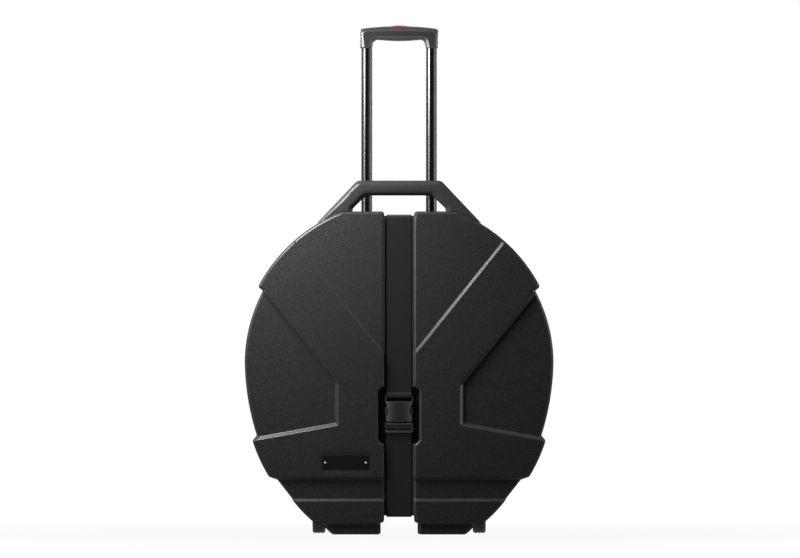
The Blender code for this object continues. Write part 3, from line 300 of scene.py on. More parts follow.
def panel_depth(panel, place, wider=0):
    """How deep a sunk panel is at a place, with the corners between its edges rounded."""
    depth, slant, soft, corner, edges = panel
    reaches = sorted((place - start).dot(normal) + wider for start, normal in edges)
    near = reaches[0]
    if corner > 0 and reaches[1] < corner:
        near = corner - math.hypot(corner - near, corner - reaches[1])
    return depth * ramp(near, slant, soft)


def all_of(mesh):
    """Every vertex, edge and face of a mesh."""
    return mesh.verts[:] + mesh.edges[:] + mesh.faces[:]


def mirrored(mesh):
    """Give a mesh that was made as its right half alone its left half too."""
    bmesh.ops.mirror(mesh, geom=all_of(mesh), merge_dist=1e-6, axis="X")


def tray(rings, depth_at, face_y, inward, panels, wider=0):
    """One skin of a shell, as a mesh: the outline inset in rings, cut along the panels' edges
    on its right half, pushed to its depth, and mirrored.

    A ring is its inset, its share of the way from the parting plane to the face, and a shift.
    """
    mesh = bmesh.new()
    inset = mesh.verts.layers.float.new("inset")
    face = mesh.faces.new([mesh.verts.new((point.x, 0, point.y)) for point in shell_outline()])
    mesh.normal_update()
    for (before, *_), (after, *_) in zip(rings, rings[1:]):
        bmesh.ops.inset_individual(mesh, faces=[face], thickness=after - before, use_even_offset=True)
        for vert in face.verts:
            vert[inset] = after
    cuts = [(Vector((0, 0)), Vector((1, 0)))]
    for _, slant, soft, _, edges in panels:
        reaches = [-soft, -soft / 2, 0, soft / 2, soft, slant / 2]
        reaches += [slant - soft / 2, slant, slant + soft / 2, slant + soft]
        cuts += [(start + normal * (reach - wider), normal) for start, normal in edges for reach in reaches]
    for number, (start, normal) in enumerate(cuts):
        bmesh.ops.bisect_plane(
            mesh, geom=all_of(mesh), dist=1e-6,
            plane_co=(start.x, 0, start.y), plane_no=(normal.x, 0, normal.y), clear_inner=number == 0,
        )
    for vert in mesh.verts:
        local = face_y + inward * depth_at(Vector((vert.co.x, vert.co.z)))
        for low, high in zip(rings, rings[1:]):
            if vert[inset] <= high[0] + 1e-6:
                break
        mix = min((vert[inset] - low[0]) / (high[0] - low[0]), 1)
        share = low[1] + (high[1] - low[1]) * mix
        shift = low[2] + (high[2] - low[2]) * mix
        vert.co.y = PARTING_Y + (local - PARTING_Y) * share + inward * shift
        if vert.co.z < BOTTOM_Z:
            vert.co.z -= min(vert.co.z, DRAFT) * (1 - vert.co.z / BOTTOM_Z)
    mirrored(mesh)
    data = bpy.data.meshes.new("tray")
    mesh.to_mesh(data)
    mesh.free()
    return data


# The walls' lean and the roundness of the outer edge, together less than CORNER_ROUND. A panel is
# its depth, the run of its wall, the softness of the wall's two bends, the rounding between its
# edges, and those edges.
DRAFT, EDGE_ROUND = 0.0028, 0.0030
SIDE_PANEL = (0.007, 0.0065, 0.0014, 0.005, [
    edge_line(CORNERS["band_head"], CORNERS["band_foot"]),
    edge_line(CORNERS["band_foot"], CORNERS["shoulder"]),
    edge_line(CORNERS["shoulder"], CORNERS["shoulder_end"]),
])
waist_z, step_z = CORNERS["waist"].y, CORNERS["base"].y
WAIST_PANEL = (0.005, 0.0045, 0.0012, 0, [
    edge_line((1, waist_z), (0, waist_z)), edge_line((0, step_z), (1, step_z)),
])
TOP_PANEL = (0.005, 0.0042, 0.0016, 0, [edge_line(CORNERS["crease"], CORNERS["crease_end"])])
CHANNEL = (0.012, 0.0025, 0.0014, 0, [edge_line((CHANNEL_HALF, 0), (CHANNEL_HALF, 1))])
BACK_CHANNEL = (0.005, 0.0025, 0.0014, 0, CHANNEL[4])
channel_rim = CHANNEL_HALF + 0.0036
CHANNEL_MOUTH = (0.0022, 0.0032, 0.0008, 0, [edge_line((channel_rim, 0), (channel_rim, 1))])
POCKET_HALF, POCKET_TOP, POCKET_LOW, POCKET_CUT, POCKET_BEVEL = 0.0415, 0.295, 0.181, 0.008, 0.0030
pocket_edges = [
    edge_line((POCKET_HALF, 0), (POCKET_HALF, 1)),
    edge_line((POCKET_HALF, POCKET_TOP - POCKET_CUT), (POCKET_HALF - POCKET_CUT, POCKET_TOP)),
    edge_line((1, POCKET_TOP), (0, POCKET_TOP)),
    edge_line((0, POCKET_LOW), (1, POCKET_LOW)),
    edge_line((POCKET_HALF - POCKET_CUT, POCKET_LOW), (POCKET_HALF, POCKET_LOW + POCKET_CUT)),
]
POCKET = (0.018, 0.0012, 0.0008, 0, pocket_edges)
POCKET_MOUTH = (0.0020, 0.0026, 0.0007, 0.003, [
    (start - normal * POCKET_BEVEL, normal) for start, normal in pocket_edges
])
FRONT_FEET = (0.004, 0.0015, 0.0010, 0, [edge_line((1, BOTTOM_Z), (0, BOTTOM_Z))])
REAR_FEET = (0.0815, 0.0010, 0.0006, 0, FRONT_FEET[4])
GROOVE_INNER_X, GROOVE_OUTER_X, GROOVE_LOW_Z = 0.0475, 0.0825, 0.150
TUBE_GROOVE = (0.0278, 0.0010, 0.0006, 0, [
    edge_line((GROOVE_INNER_X, 1), (GROOVE_INNER_X, 0)),
    edge_line((GROOVE_OUTER_X, 0), (GROOVE_OUTER_X, 1)),
    edge_line((0, GROOVE_LOW_Z), (1, GROOVE_LOW_Z)),
])
WELL_X, WELL_TOP_Z = 0.144, 0.072
WHEEL_WELL = (0.0695, 0.0010, 0.0006, 0, [
    edge_line((WELL_X, 1), (WELL_X, 0)), edge_line((1, WELL_TOP_Z), (0, WELL_TOP_Z)),
])
OUTER_RINGS = [
    (0, 0, 0.0010),
    (DRAFT, 1, EDGE_ROUND),
    (DRAFT + 0.04 * EDGE_ROUND, 1, 0.78 * EDGE_ROUND),
    (DRAFT + 0.14 * EDGE_ROUND, 1, 0.58 * EDGE_ROUND),
    (DRAFT + 0.84 * EDGE_ROUND, 1, 0.10 * EDGE_ROUND),
    (DRAFT + EDGE_ROUND, 1, 0),
]


def inner_rings(ledge):
    """The rim and the inside wall, with a ledge that stands off the parting plane."""
    return [
        (0, 0, 0.0010),
        (0.0006, 0, 0),
        (TONGUE_INSET, 0, 0),
        (TONGUE_INSET + 0.0001, 0, ledge),
        (WALL, 0, ledge),
        (WALL + 0.0002, 0, 0),
        (WALL + 0.0014, 1, 0),
    ]


def moulded_shell(face_y, inward, ledge, panels, mouths=()):
    """A whole shell as a bmesh: its outer skin and its inner skin, joined at the rim.

    A mouth is a shallow bevel around a deep panel, and it follows the shallow panels it crosses.
    """
    def outer_depth(place):
        sunk = max(panel_depth(panel, place) for panel in panels)
        bevel = max((panel_depth(mouth, place) for mouth in mouths), default=0)
        return max(sunk, min(sunk, TOP_PANEL[0]) + bevel)

    def inner_depth(place):
        return max([SIDE_PANEL[0]] + [panel_depth(panel, place, WALL) for panel in panels]) + WALL

    mesh = bmesh.new()
    mesh.from_mesh(tray(OUTER_RINGS, outer_depth, face_y, inward, [*panels, *mouths]))
    mesh.from_mesh(tray(inner_rings(ledge), inner_depth, face_y, inward, panels, WALL))
    bmesh.ops.remove_doubles(mesh, verts=mesh.verts, dist=2e-6)
    bmesh.ops.recalc_face_normals(mesh, faces=mesh.faces)
    return mesh


def piece(name, mesh, body, finish, slot, *nodes, sharp=40):
    """A finished piece from a bmesh: smooth, with true flats, in its finish, on its body if it has
    just one, and in place of the frame's nodes that it stands for.
    """
    data = bpy.data.meshes.new(name)
    mesh.to_mesh(data)
    mesh.free()
    data.shade_smooth()
    data.set_sharp_from_angle(angle=math.radians(sharp))
    data.materials.append(finish)
    made = bpy.data.objects.new(name, data)
    bpy.context.scene.collection.objects.link(made)
    flats = made.modifiers.new("true_flats", "WEIGHTED_NORMAL")
    flats.keep_sharp = True
    if body:
        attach(made, body)
    if nodes:
        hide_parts(*nodes)
    return made


# The pebble grain of moulded plastic: a height for bump, and broad patches for the gloss.
pebble_grain = bpy.data.node_groups.new("pebble_grain", "ShaderNodeTree")
sockets = pebble_grain.interface
density = sockets.new_socket("Pebbles per metre", in_out="INPUT", socket_type="NodeSocketFloat")
density.default_value = 420
for label in ("Height", "Patches"):
    sockets.new_socket(label, in_out="OUTPUT", socket_type="NodeSocketFloat")
per_metre = pebble_grain.nodes.new("NodeGroupInput").outputs["Pebbles per metre"]
place = add(pebble_grain, "TexCoord").outputs["Object"]
cells = add(pebble_grain, "TexVoronoi", {
    "Vector": place, "Scale": per_metre, "Smoothness": 0.7,
}, feature="SMOOTH_F1")
wider = calculated(pebble_grain, "MULTIPLY", per_metre, 0.6)
ripple = add(pebble_grain, "TexNoise", {"Vector": place, "Scale": wider, "Detail": 3.0, "Roughness": 0.55})
both = add(pebble_grain, "Mix", {"A": cells.outputs["Distance"], "B": ripple.outputs["Fac"]})
broad = add(pebble_grain, "TexNoise", {"Vector": place, "Scale": 9.0, "Detail": 4.0})
result = pebble_grain.nodes.new("NodeGroupOutput")
pebble_grain.links.new(both.outputs["Result"], result.inputs["Height"])
pebble_grain.links.new(broad.outputs["Fac"], result.inputs["Patches"])


def new_finish(name):
    """A new material, and its node tree with nothing in it."""
    made = bpy.data.materials.new(name)
    return made, emptied(made)


def toned(tree, value, *stops):
    """A colour that follows a value through (place, colour) stops."""
    made = add(tree, "ValToRGB", {"Fac": value})
    elements = made.color_ramp.elements
    elements[0].position, elements[1].position = stops[0][0], stops[-1][0]
    for place, _ in stops[1:-1]:
        elements.new(place)
    for element, (_, colour) in zip(elements, stops):
        element.color = (*colour, 1)
    return made.outputs["Color"]


def bump(tree, height, strength, distance):
    """The surface's normal, bumped by a height."""
    made = add(tree, "Bump", {"Height": height, "Strength": strength, "Distance": distance})
    return made.outputs["Normal"]


def coat(tree, *stops):
    """A coat's weight by how far the surface turns away from the eye, through (turn, weight) stops."""
    facing = add(tree, "LayerWeight").outputs["Facing"]
    return toned(tree, facing, *((turn, (weight,) * 3) for turn, weight in stops))


def shade(tree, inputs):
    """A material's shader, with its sockets set or fed, and its way out."""
    shader = add(tree, "BsdfPrincipled", inputs)
    add(tree, "OutputMaterial", {"Surface": shader.outputs[0]})


shell_finish, tree = new_finish("pebbled_polyethylene")
grain = add(tree, "Group", node_tree=pebble_grain).outputs
shade(tree, {
    "Base Color": toned(
        tree, grain["Height"], (0.25, (0.016, 0.016, 0.0164)), (0.75, (0.030, 0.030, 0.0306))),
    "Roughness": grain["Patches"],
    "Normal": bump(tree, grain["Height"], 0.7, 0.0014),
    "Specular IOR Level": 0.0,
    "Coat Weight": coat(tree, (0.025, 0.0), (0.10, 0.32), (0.50, 0.32), (0.75, 0.02)),
    "Coat Roughness": 0.28,
})

lid_panels = [SIDE_PANEL, WAIST_PANEL, TOP_PANEL, CHANNEL, POCKET, FRONT_FEET]
lid_mesh = moulded_shell(lid_low.y, 1, -TONGUE_LENGTH, lid_panels, [CHANNEL_MOUTH, POCKET_MOUTH])
# The plate's seat, pressed into the lid's face on its left side alone.
seat_low, seat_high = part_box("name_plate")
SEAT_ROOM, SEAT_WALL, SEAT_DEPTH, NEAR_FACE = 0.0004, 0.0030, 0.0020, 0.0005
near_seat = [
    face for face in lid_mesh.faces
    if abs(face.calc_center_median().y - lid_low.y) < NEAR_FACE and face.calc_center_median().x < 0
]
near_geom = list({item for face in near_seat for item in (face, *face.edges, *face.verts)})
for margin in (SEAT_ROOM + SEAT_WALL, SEAT_ROOM):
    for place, way in (
        (Vector((seat_low.x - margin, 0, 0)), (1, 0, 0)), (Vector((seat_high.x + margin, 0, 0)), (1, 0, 0)),
        (Vector((0, 0, seat_low.z - margin)), (0, 0, 1)), (Vector((0, 0, seat_high.z + margin)), (0, 0, 1)),
    ):
        made = bmesh.ops.bisect_plane(lid_mesh, geom=near_geom, plane_co=place, plane_no=way, dist=1e-6)
        near_geom = made["geom"]
floor_room = SEAT_ROOM + 1e-5
for vert in {item for item in near_geom if isinstance(item, bmesh.types.BMVert)}:
    inside_x = seat_low.x - floor_room < vert.co.x < seat_high.x + floor_room
    if inside_x and seat_low.z - floor_room < vert.co.z < seat_high.z + floor_room:
        vert.co.y += SEAT_DEPTH
piece("lid_moulding", lid_mesh, "lid", shell_finish, "shell_plastic", "front_shell")

base_panels = [SIDE_PANEL, WAIST_PANEL, BACK_CHANNEL, TUBE_GROOVE, WHEEL_WELL, REAR_FEET]
base_mesh = moulded_shell(base_high.y, -1, TONGUE_LENGTH - GAP, base_panels)
piece("base_moulding", base_mesh, "case_base", shell_finish, "shell_plastic", "rear_shell")


# The carry handle, a thick loop of the same polyethylene, moulded in one with the base's top
# wall. Its edges are rolled over to fill the hand, and its two legs widen where they meet the wall.
LOOP_TOP_Z, LOOP_BAR, LOOP_DEPTH, LOOP_ROLL = base_high.z, 0.030, 0.028, 0.0130
LOOP_MIDDLE_Y = 0.010
loop_corner, loop_end = Vector((0.0842, LOOP_TOP_Z)), Vector((0.1655, 0.6222))
eye_corner = Vector((0.066, LOOP_TOP_Z - LOOP_BAR))
eye_side, eye_end = Vector((0.0930, 0.652)), Vector((0.0930, 0.644))


def section(start, end, middle_y, depth, round_off, steps=8):
    """A closed rounded rectangle that is as wide as the way between two places."""
    middle, reach = (start + end) / 2, (end - start).length / 2
    along = (end - start).normalized()
    points = []
    for corner, (side, front) in enumerate([(1, 1), (-1, 1), (-1, -1), (1, -1)]):
        for step in range(steps + 1):
            turn = math.radians(90) * (corner + step / steps)
            across = side * (reach - round_off) + round_off * math.cos(turn)
            spot = middle + along * across
            back = front * (depth / 2 - round_off) + round_off * math.sin(turn)
            points.append((spot.x, middle_y + back, spot.y))
    return points


def loft(mesh, sections, capped=True):
    """A skin over closed sections of equally many points, each bridged to the next."""
    rings = []
    for points in sections:
        verts = [mesh.verts.new(point) for point in points]
        rings.append([mesh.edges.new(pair) for pair in zip(verts, verts[1:] + verts[:1])])
    for ring, following in zip(rings, rings[1:]):
        bmesh.ops.bridge_loops(mesh, edges=ring + following)
    if capped:
        bmesh.ops.edgeloop_fill(mesh, edges=rings[0])
        bmesh.ops.edgeloop_fill(mesh, edges=rings[-1])
    bmesh.ops.recalc_face_normals(mesh, faces=mesh.faces)
    return rings


outer_way = [Vector((x, LOOP_TOP_Z)) for x in (0, 0.03, 0.06)]
outer_way += rounded_corner(outer_way[0], loop_corner, loop_end, 0.015)
eye_way = [Vector((x, eye_corner.y)) for x in (0, 0.028, 0.052)]
eye_way += rounded_corner(eye_way[0], eye_corner, eye_side, 0.013)
eye_way += rounded_corner(eye_corner, eye_side, eye_end, 0.007)
eye_way.append(eye_end)
legs = len(eye_way) - len(outer_way)
slope_start = outer_way[-1]
outer_way += [slope_start.lerp(loop_end, (step + 1) / legs) for step in range(legs)]
carry_mesh = bmesh.new()
loft(carry_mesh, [
    section(eye, outer, LOOP_MIDDLE_Y, LOOP_DEPTH, LOOP_ROLL) for eye, outer in zip(eye_way, outer_way)
], capped=False)
mirrored(carry_mesh)
bmesh.ops.holes_fill(carry_mesh, edges=carry_mesh.edges, sides=0)
bmesh.ops.recalc_face_normals(carry_mesh, faces=carry_mesh.faces)
piece("carry_handle", carry_mesh, "case_base", shell_finish, "shell_plastic")


# The strap, one length of 50 mm woven black webbing. It runs round the whole case in its channels,
# from behind the plug's ladder bar, under, up the back and down to the socket's bar, where it is sewn.
STRAP_WIDTH, STRAP_THICK, STRAP_LIE = 0.050, 0.002, 0.0013
SEWN_END_Z, SEWN_FOLD_Z, LADDER_Z = 0.2905, 0.2733, 0.2122
front_y = lid_low.y + CHANNEL[0] - STRAP_LIE
back_y = base_high.y - BACK_CHANNEL[0] + STRAP_LIE
sloped_top, sloped_low = CHANNEL_TOP_Z - DRAFT + STRAP_LIE, CHANNEL_LOW_Z + DRAFT - STRAP_LIE
fold_y, sewn_y = front_y - 0.0053, front_y - STRAP_THICK
STRAP_WAY = [(Vector((y, z)), radius) for y, z, radius in (
    (front_y, LADDER_Z, 0),
    (front_y, CHANNEL_LOW_Z - STRAP_LIE + 0.0012, 0.003),
    (PARTING_Y, CHANNEL_LOW_Z - STRAP_LIE, 0.020),
    (back_y, sloped_low, 0.003),
    (back_y, sloped_top, 0.003),
    (PARTING_Y, CHANNEL_TOP_Z + STRAP_LIE, 0.020),
    (front_y, sloped_top, 0.003),
    (front_y, SEWN_FOLD_Z, 0.0020),
    (fold_y, SEWN_FOLD_Z, 0.0020),
    (fold_y, SEWN_FOLD_Z + 0.0065, 0.004),
    (sewn_y, SEWN_FOLD_Z + 0.0110, 0.003),
    (sewn_y, SEWN_END_Z, 0),
)]


def open_way(corners, spacing):
    """Points down an open way with rounded corners, no further apart than the spacing."""
    rounded = []
    for number, (spot, radius) in enumerate(corners):
        before, after = corners[max(number - 1, 0)][0], corners[min(number + 1, len(corners) - 1)][0]
        rounded += rounded_corner(before, spot, after, radius)
    points = rounded[:1]
    for spot in rounded[1:]:
        start = points[-1]
        parts = math.ceil((spot - start).length / spacing)
        points += [start.lerp(spot, (part + 1) / parts) for part in range(parts)]
    return points


def webbing(corners, width, thick, spacing=0.006):
    """A woven band along a way in the YZ plane, with its UV map in metres across and along."""
    half, reach = width / 2, thick / 2
    across = [0, 0.25, 0.5, 0.75, 0.90, 0.96]
    outer = [(half * share, reach) for share in across] + [(half - 0.0003, reach * 0.8), (half, reach * 0.3)]
    rim = outer + [(x, -lift) for x, lift in reversed(outer)]
    profile = rim + [(-x, lift) for x, lift in reversed(rim[1:-1])]
    way = open_way(corners, spacing)
    mesh = bmesh.new()
    along = mesh.verts.layers.float.new("along")
    sections, lengths, gone = [], [], 0
    for number, spot in enumerate(way):
        before, after = way[max(number - 1, 0)], way[min(number + 1, len(way) - 1)]
        gone += (spot - before).length
        ahead = (after - before).normalized()
        sections.append([(x, spot.x + ahead.y * lift, spot.y - ahead.x * lift) for x, lift in profile])
        lengths.append(gone)
    for ring, length in zip(loft(mesh, sections), lengths):
        for vert in {vert for edge in ring for vert in edge.verts}:
            vert[along] = length
    uv = mesh.loops.layers.uv.new("weave")
    for face in mesh.faces:
        for corner in face.loops:
            corner[uv].uv = (corner.vert.co.x, corner.vert[along])
    return mesh, gone


# Webbing: lengthwise ribs crossed by the weft, and a tight plain selvedge at each side.
RIBS_PER_METRE, WEFTS_PER_METRE, SELVEDGE = 420, 360, 0.003
webbing_finish, tree = new_finish("woven_polypropylene")
weave_uv = add(tree, "UVMap", uv_map="weave").outputs["UV"]
across_band, along_band, _ = add(tree, "SeparateXYZ", {0: weave_uv}).outputs


def wave(tree, value, per_metre):
    """A sine wave of a coordinate, from -1 to 1."""
    return calculated(tree, "SINE", calculated(tree, "MULTIPLY", value, per_metre * 2 * math.pi))


def spread(tree, value, low, high, start=0.0, end=1.0):
    """A value between start and end, spread from low to high."""
    return add(tree, "MapRange", {
        "Value": value, "From Min": start, "From Max": end, "To Min": low, "To Max": high,
    }).outputs["Result"]


ribs, weft = wave(tree, across_band, RIBS_PER_METRE), wave(tree, along_band, WEFTS_PER_METRE)
woven = calculated(tree, "MULTIPLY_ADD", calculated(tree, "MULTIPLY", ribs, weft), 0.5, 0.5)
off_middle = calculated(tree, "ABSOLUTE", across_band)
selvedge = calculated(tree, "GREATER_THAN", off_middle, STRAP_WIDTH / 2 - SELVEDGE)
height = calculated(tree, "ADD", woven, calculated(tree, "MULTIPLY", selvedge, 0.4))
fuzz = add(tree, "TexNoise", {"Vector": weave_uv, "Scale": 30.0, "Detail": 5.0}).outputs["Fac"]
shade(tree, {
    "Base Color": toned(tree, woven, (0, (0.003, 0.003, 0.0032)), (1, (0.012, 0.012, 0.0125))),
    "Roughness": spread(tree, fuzz, 0.50, 0.72),
    "Normal": bump(tree, height, 0.5, 0.0004),
    "Specular IOR Level": 0.08,
    "Sheen Weight": 0.03,
    "Sheen Roughness": 0.5,
})

strap_mesh, strap_length = webbing(STRAP_WAY, STRAP_WIDTH, STRAP_THICK)
strap = piece("strap", strap_mesh, None, webbing_finish, "webbing")
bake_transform(strap)
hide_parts("strap_upper", "strap_lower", "strap_back")


# The side-release buckle, moulded in satin black acetal. The socket is two plates over a hollow,
# waisted for the fingers, under a frame with the bar that the strap is sewn round.
socket_low, socket_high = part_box("buckle_socket")
plug_low, plug_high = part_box("buckle_plug")
BUCKLE_HALF, BODY_HALF, WAIST_HALF = socket_high.x, 0.0262, 0.0220
BODY_LOW_Z, BODY_HIGH_Z, WINDOW_LOW_Z, WINDOW_HIGH_Z = 0.2260, 0.2660, 0.2350, 0.2610
PLATE_WALL, CROWN = 0.0024, 0.0022


def eased(mesh, rims, offset, segments):
    """Round some edges off."""
    bmesh.ops.bevel(
        mesh, geom=rims, offset=offset, offset_type="OFFSET", segments=segments, profile=0.5, affect="EDGES",
        clamp_overlap=True, material=-1)


def risen(mesh, faces, way):
    """Extrude faces along a way, and give back the faces that moved."""
    made = bmesh.ops.extrude_face_region(mesh, geom=faces)["geom"]
    moved = [item for item in made if isinstance(item, bmesh.types.BMVert)]
    bmesh.ops.translate(mesh, verts=moved, vec=way)
    bmesh.ops.recalc_face_normals(mesh, faces=mesh.faces)
    return [item for item in made if isinstance(item, bmesh.types.BMFace)]


def slab(mesh, outline, near, far, round_off, segments=3, lying=False):
    """A closed plate from its outline, with the edges of both its faces rounded. The outline is in
    X and Z and the depth along Y; a lying plate has its outline in X and Y.
    """
    corners = [(x, other, near) if lying else (x, near, other) for x, other in outline]
    face = mesh.faces.new([mesh.verts.new(corner) for corner in corners])
    lifted = risen(mesh, [face], (0, 0, far - near) if lying else (0, far - near, 0))
    eased(mesh, list({*face.edges, *(edge for item in lifted for edge in item.edges)}), round_off, segments)


def both_sides(right):
    """A closed outline from its right half, listed from the top down, and its mirror image."""
    return [*right, *((-x, z) for x, z in reversed(right))]


def on_side(side, outline):
    """An outline that was listed for the right side, on the side that is asked for."""
    return [(side * x, z) for x, z in outline]


def crowned(mesh, half, rise):
    """Bow the front of a mesh, so that its middle stands proud of its sides."""
    for share in (-0.9, -0.75, -0.5, -0.25, 0, 0.25, 0.5, 0.75, 0.9):
        bmesh.ops.bisect_plane(
            mesh, geom=all_of(mesh), plane_co=(half * share, 0, 0), plane_no=(1, 0, 0), dist=1e-6)
    for vert in mesh.verts:
        share = min(abs(vert.co.x) / half, 1)
        vert.co.y += rise * share ** 2.4


waist_steps = 10
waisted = [(BODY_HALF - 0.0030, BODY_HIGH_Z), (BODY_HALF + 0.0005, BODY_HIGH_Z - 0.0022)]
for step in range(waist_steps + 1):
    turn = step / waist_steps
    z = WINDOW_HIGH_Z + (WINDOW_LOW_Z - WINDOW_HIGH_Z) * turn
    waisted.append((BODY_HALF - (BODY_HALF - WAIST_HALF) * math.sin(math.pi * turn) ** 0.8, z))
waisted += [(BODY_HALF, BODY_LOW_Z + 0.002), (BODY_HALF - 0.0012, BODY_LOW_Z)]
near_y, far_y, top_z = socket_low.y, socket_high.y, socket_high.z
socket_mesh = bmesh.new()
slab(socket_mesh, both_sides(waisted), near_y, near_y + PLATE_WALL, 0.0008)
crowned(socket_mesh, BODY_HALF, CROWN)
slab(socket_mesh, both_sides(waisted), far_y - 0.0018, far_y, 0.0005)
post_top = [
    (0.0218, BODY_HIGH_Z - 0.0006), (BODY_HALF, BODY_HIGH_Z - 0.0010), (BODY_HALF, 0.2605), (0.0218, 0.2590),
]
post_low = [
    (0.0243, WINDOW_LOW_Z), (BODY_HALF, WINDOW_LOW_Z), (BODY_HALF, BODY_LOW_Z + 0.0006),
    (0.0243, BODY_LOW_Z + 0.0006),
]
cheek = [
    (0.0253, BODY_HIGH_Z - 0.002), (0.0253, top_z - 0.0006), (0.0262, top_z),
    (BUCKLE_HALF - 0.0006, top_z - 0.0004), (BUCKLE_HALF, top_z - 0.0016), (BUCKLE_HALF, BODY_HIGH_Z - 0.001),
    (BODY_HALF, BODY_HIGH_Z - 0.0045), (0.0240, BODY_HIGH_Z - 0.0040),
]
for side in (1, -1):
    for post in (post_top, post_low):
        slab(socket_mesh, on_side(side, post), near_y + PLATE_WALL, far_y - 0.0008, 0.0004)
    slab(socket_mesh, on_side(side, cheek), near_y + 0.0012, far_y - 0.0008, 0.0007)
BAR_HALF, BAR_HIGH_Z, BAR_LOW_Z, BAR_NEAR_Y, BAR_FAR_Y = 0.0262, 0.2771, 0.2745, -0.0932, -0.0906
bar = [(-BAR_HALF, BAR_HIGH_Z), (BAR_HALF, BAR_HIGH_Z), (BAR_HALF, BAR_LOW_Z), (-BAR_HALF, BAR_LOW_Z)]
slab(socket_mesh, bar, BAR_NEAR_Y, BAR_FAR_Y, 0.0008)

# Satin acetal: it shines where it turns away, and hardly on its flats.
buckle_finish, tree = new_finish("satin_acetal")
grain = add(tree, "Group", {"Pebbles per metre": 2200}, node_tree=pebble_grain).outputs
facing = add(tree, "LayerWeight").outputs["Facing"]
shade(tree, {
    "Base Color": toned(tree, grain["Patches"], (0, (0.012, 0.012, 0.0125)), (1, (0.018, 0.018, 0.0187))),
    "Roughness": spread(tree, grain["Height"], 0.28, 0.40),
    "Normal": bump(tree, grain["Height"], 0.25, 0.0002),
    "Specular IOR Level": 0.0,
    "Coat Weight": spread(tree, facing, 0.10, 1.0, 0.0, 0.012),
    "Coat Roughness": 0.38,
})
piece("buckle_socket_shell", socket_mesh, "lid", buckle_finish, "buckle_plastic", "buckle_socket")

# The plug: a ladder of two bars for the strap's free end, with a guide tongue between its prongs.
plug_mesh = bmesh.new()
near_y, far_y, low_z = plug_low.y, plug_high.y, plug_low.z
low_bar = [(0.0235, low_z + 0.0046), (0.0268, low_z + 0.0046), (0.0262, low_z + 0.0010), (0.0225, low_z)]
slab(plug_mesh, both_sides(low_bar), near_y, near_y + 0.0030, 0.0012)
upper_bar = [(0.0268, 0.2225), (BUCKLE_HALF, 0.2214), (BUCKLE_HALF, 0.2140), (0.0256, 0.2126)]
slab(plug_mesh, both_sides(upper_bar), near_y + 0.0012, far_y - 0.0022, 0.0007)
ridge = [(0.0262, 0.2222), (0.0262, 0.2192)]
slab(plug_mesh, both_sides(ridge), near_y, near_y + 0.0030, 0.0010)
rail = [
    (0.0254, 0.2210), (BUCKLE_HALF, 0.2210), (BUCKLE_HALF, low_z + 0.0045), (0.0262, low_z + 0.0010),
    (0.0254, low_z + 0.0014),
]
for side in (1, -1):
    slab(plug_mesh, on_side(side, rail), near_y + 0.0006, far_y - 0.0010, 0.0006)
tongue = [(0.0052, plug_high.z), (0.0070, plug_high.z - 0.0030), (0.0070, 0.2200)]
slab(plug_mesh, both_sides(tongue), -0.0905, -0.0881, 0.0006)
piece("buckle_plug_shell", plug_mesh, "lid", buckle_finish, "buckle_plastic", "buckle_plug")

# The two prongs that spring from the plug into the socket's windows, with a pad for a finger each.
PRONG_NEAR, PRONG_FAR = -0.0918, -0.0868
prong_outline = [
    (0.0219, 0.2228), (0.0159, 0.2228), (0.0159, 0.2500), (0.0176, 0.2548), (0.0200, 0.2560),
    (0.0240, 0.2552), (0.0264, 0.2536), (0.0276, 0.2512), (BUCKLE_HALF, 0.2480), (BUCKLE_HALF, 0.2420),
    (0.0268, 0.2382), (0.0240, 0.2358), (0.0226, 0.2345), (0.0219, 0.2310),
]
for side, word in ((1, "right"), (-1, "left")):
    prong_mesh = bmesh.new()
    slab(prong_mesh, on_side(side, prong_outline), PRONG_NEAR, PRONG_FAR, 0.0009)
    piece("buckle_finger_" + word, prong_mesh, "prong_" + word, buckle_finish, "buckle_plastic",
          "buckle_prong_" + word)


# The tow grip, moulded in satin acetal: a full bar that bows up and down in its middle, between two sockets
# that take the tubes. Their screw holes are not cut.
grip_low, grip_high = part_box("grip")
GRIP_DEPTH, GRIP_ROLL, GRIP_MIDDLE_Y = grip_high.y - grip_low.y, 0.0105, (grip_low.y + grip_high.y) / 2
GRIP_ARCH, SOCKET_INNER = 0.0055, 0.0520
GRIP_TALL, UNDER_BOW, UNDER_HALF = 0.0300, 0.0028, 0.0450


def arched(x):
    """The height of the grip's bowed top at a place across it."""
    return grip_high.z - GRIP_ARCH * (x / grip_high.x) ** 2


def bowed(x):
    """The height of the grip's bowed underside."""
    return grip_high.z - GRIP_TALL + UNDER_BOW * (x / UNDER_HALF) ** 2


top_way = [Vector((x, arched(x))) for x in (0, 0.010, 0.020, 0.030, 0.040, 0.050, 0.060)]
side_foot = Vector((grip_high.x - 0.0010, grip_low.z))
top_way += rounded_corner(top_way[-1], Vector((grip_high.x, arched(grip_high.x))), side_foot, 0.0085, 7)
under_way = [Vector((x, bowed(x))) for x in (0, 0.007, 0.014, 0.021, 0.028, 0.035, 0.040)]
inner_foot = Vector((SOCKET_INNER + 0.0012, grip_low.z))
under_way += rounded_corner(under_way[-1], Vector((0.0500, bowed(UNDER_HALF))), inner_foot, 0.0085, 7)
last_outer, last_inner = top_way[-1], under_way[-1]
for step in (0.35, 0.70, 0.90):
    top_way.append(last_outer.lerp(side_foot, step))
    under_way.append(last_inner.lerp(inner_foot, step))
grip_sections = [
    section(under, top, GRIP_MIDDLE_Y, GRIP_DEPTH, GRIP_ROLL) for under, top in zip(under_way, top_way)
]
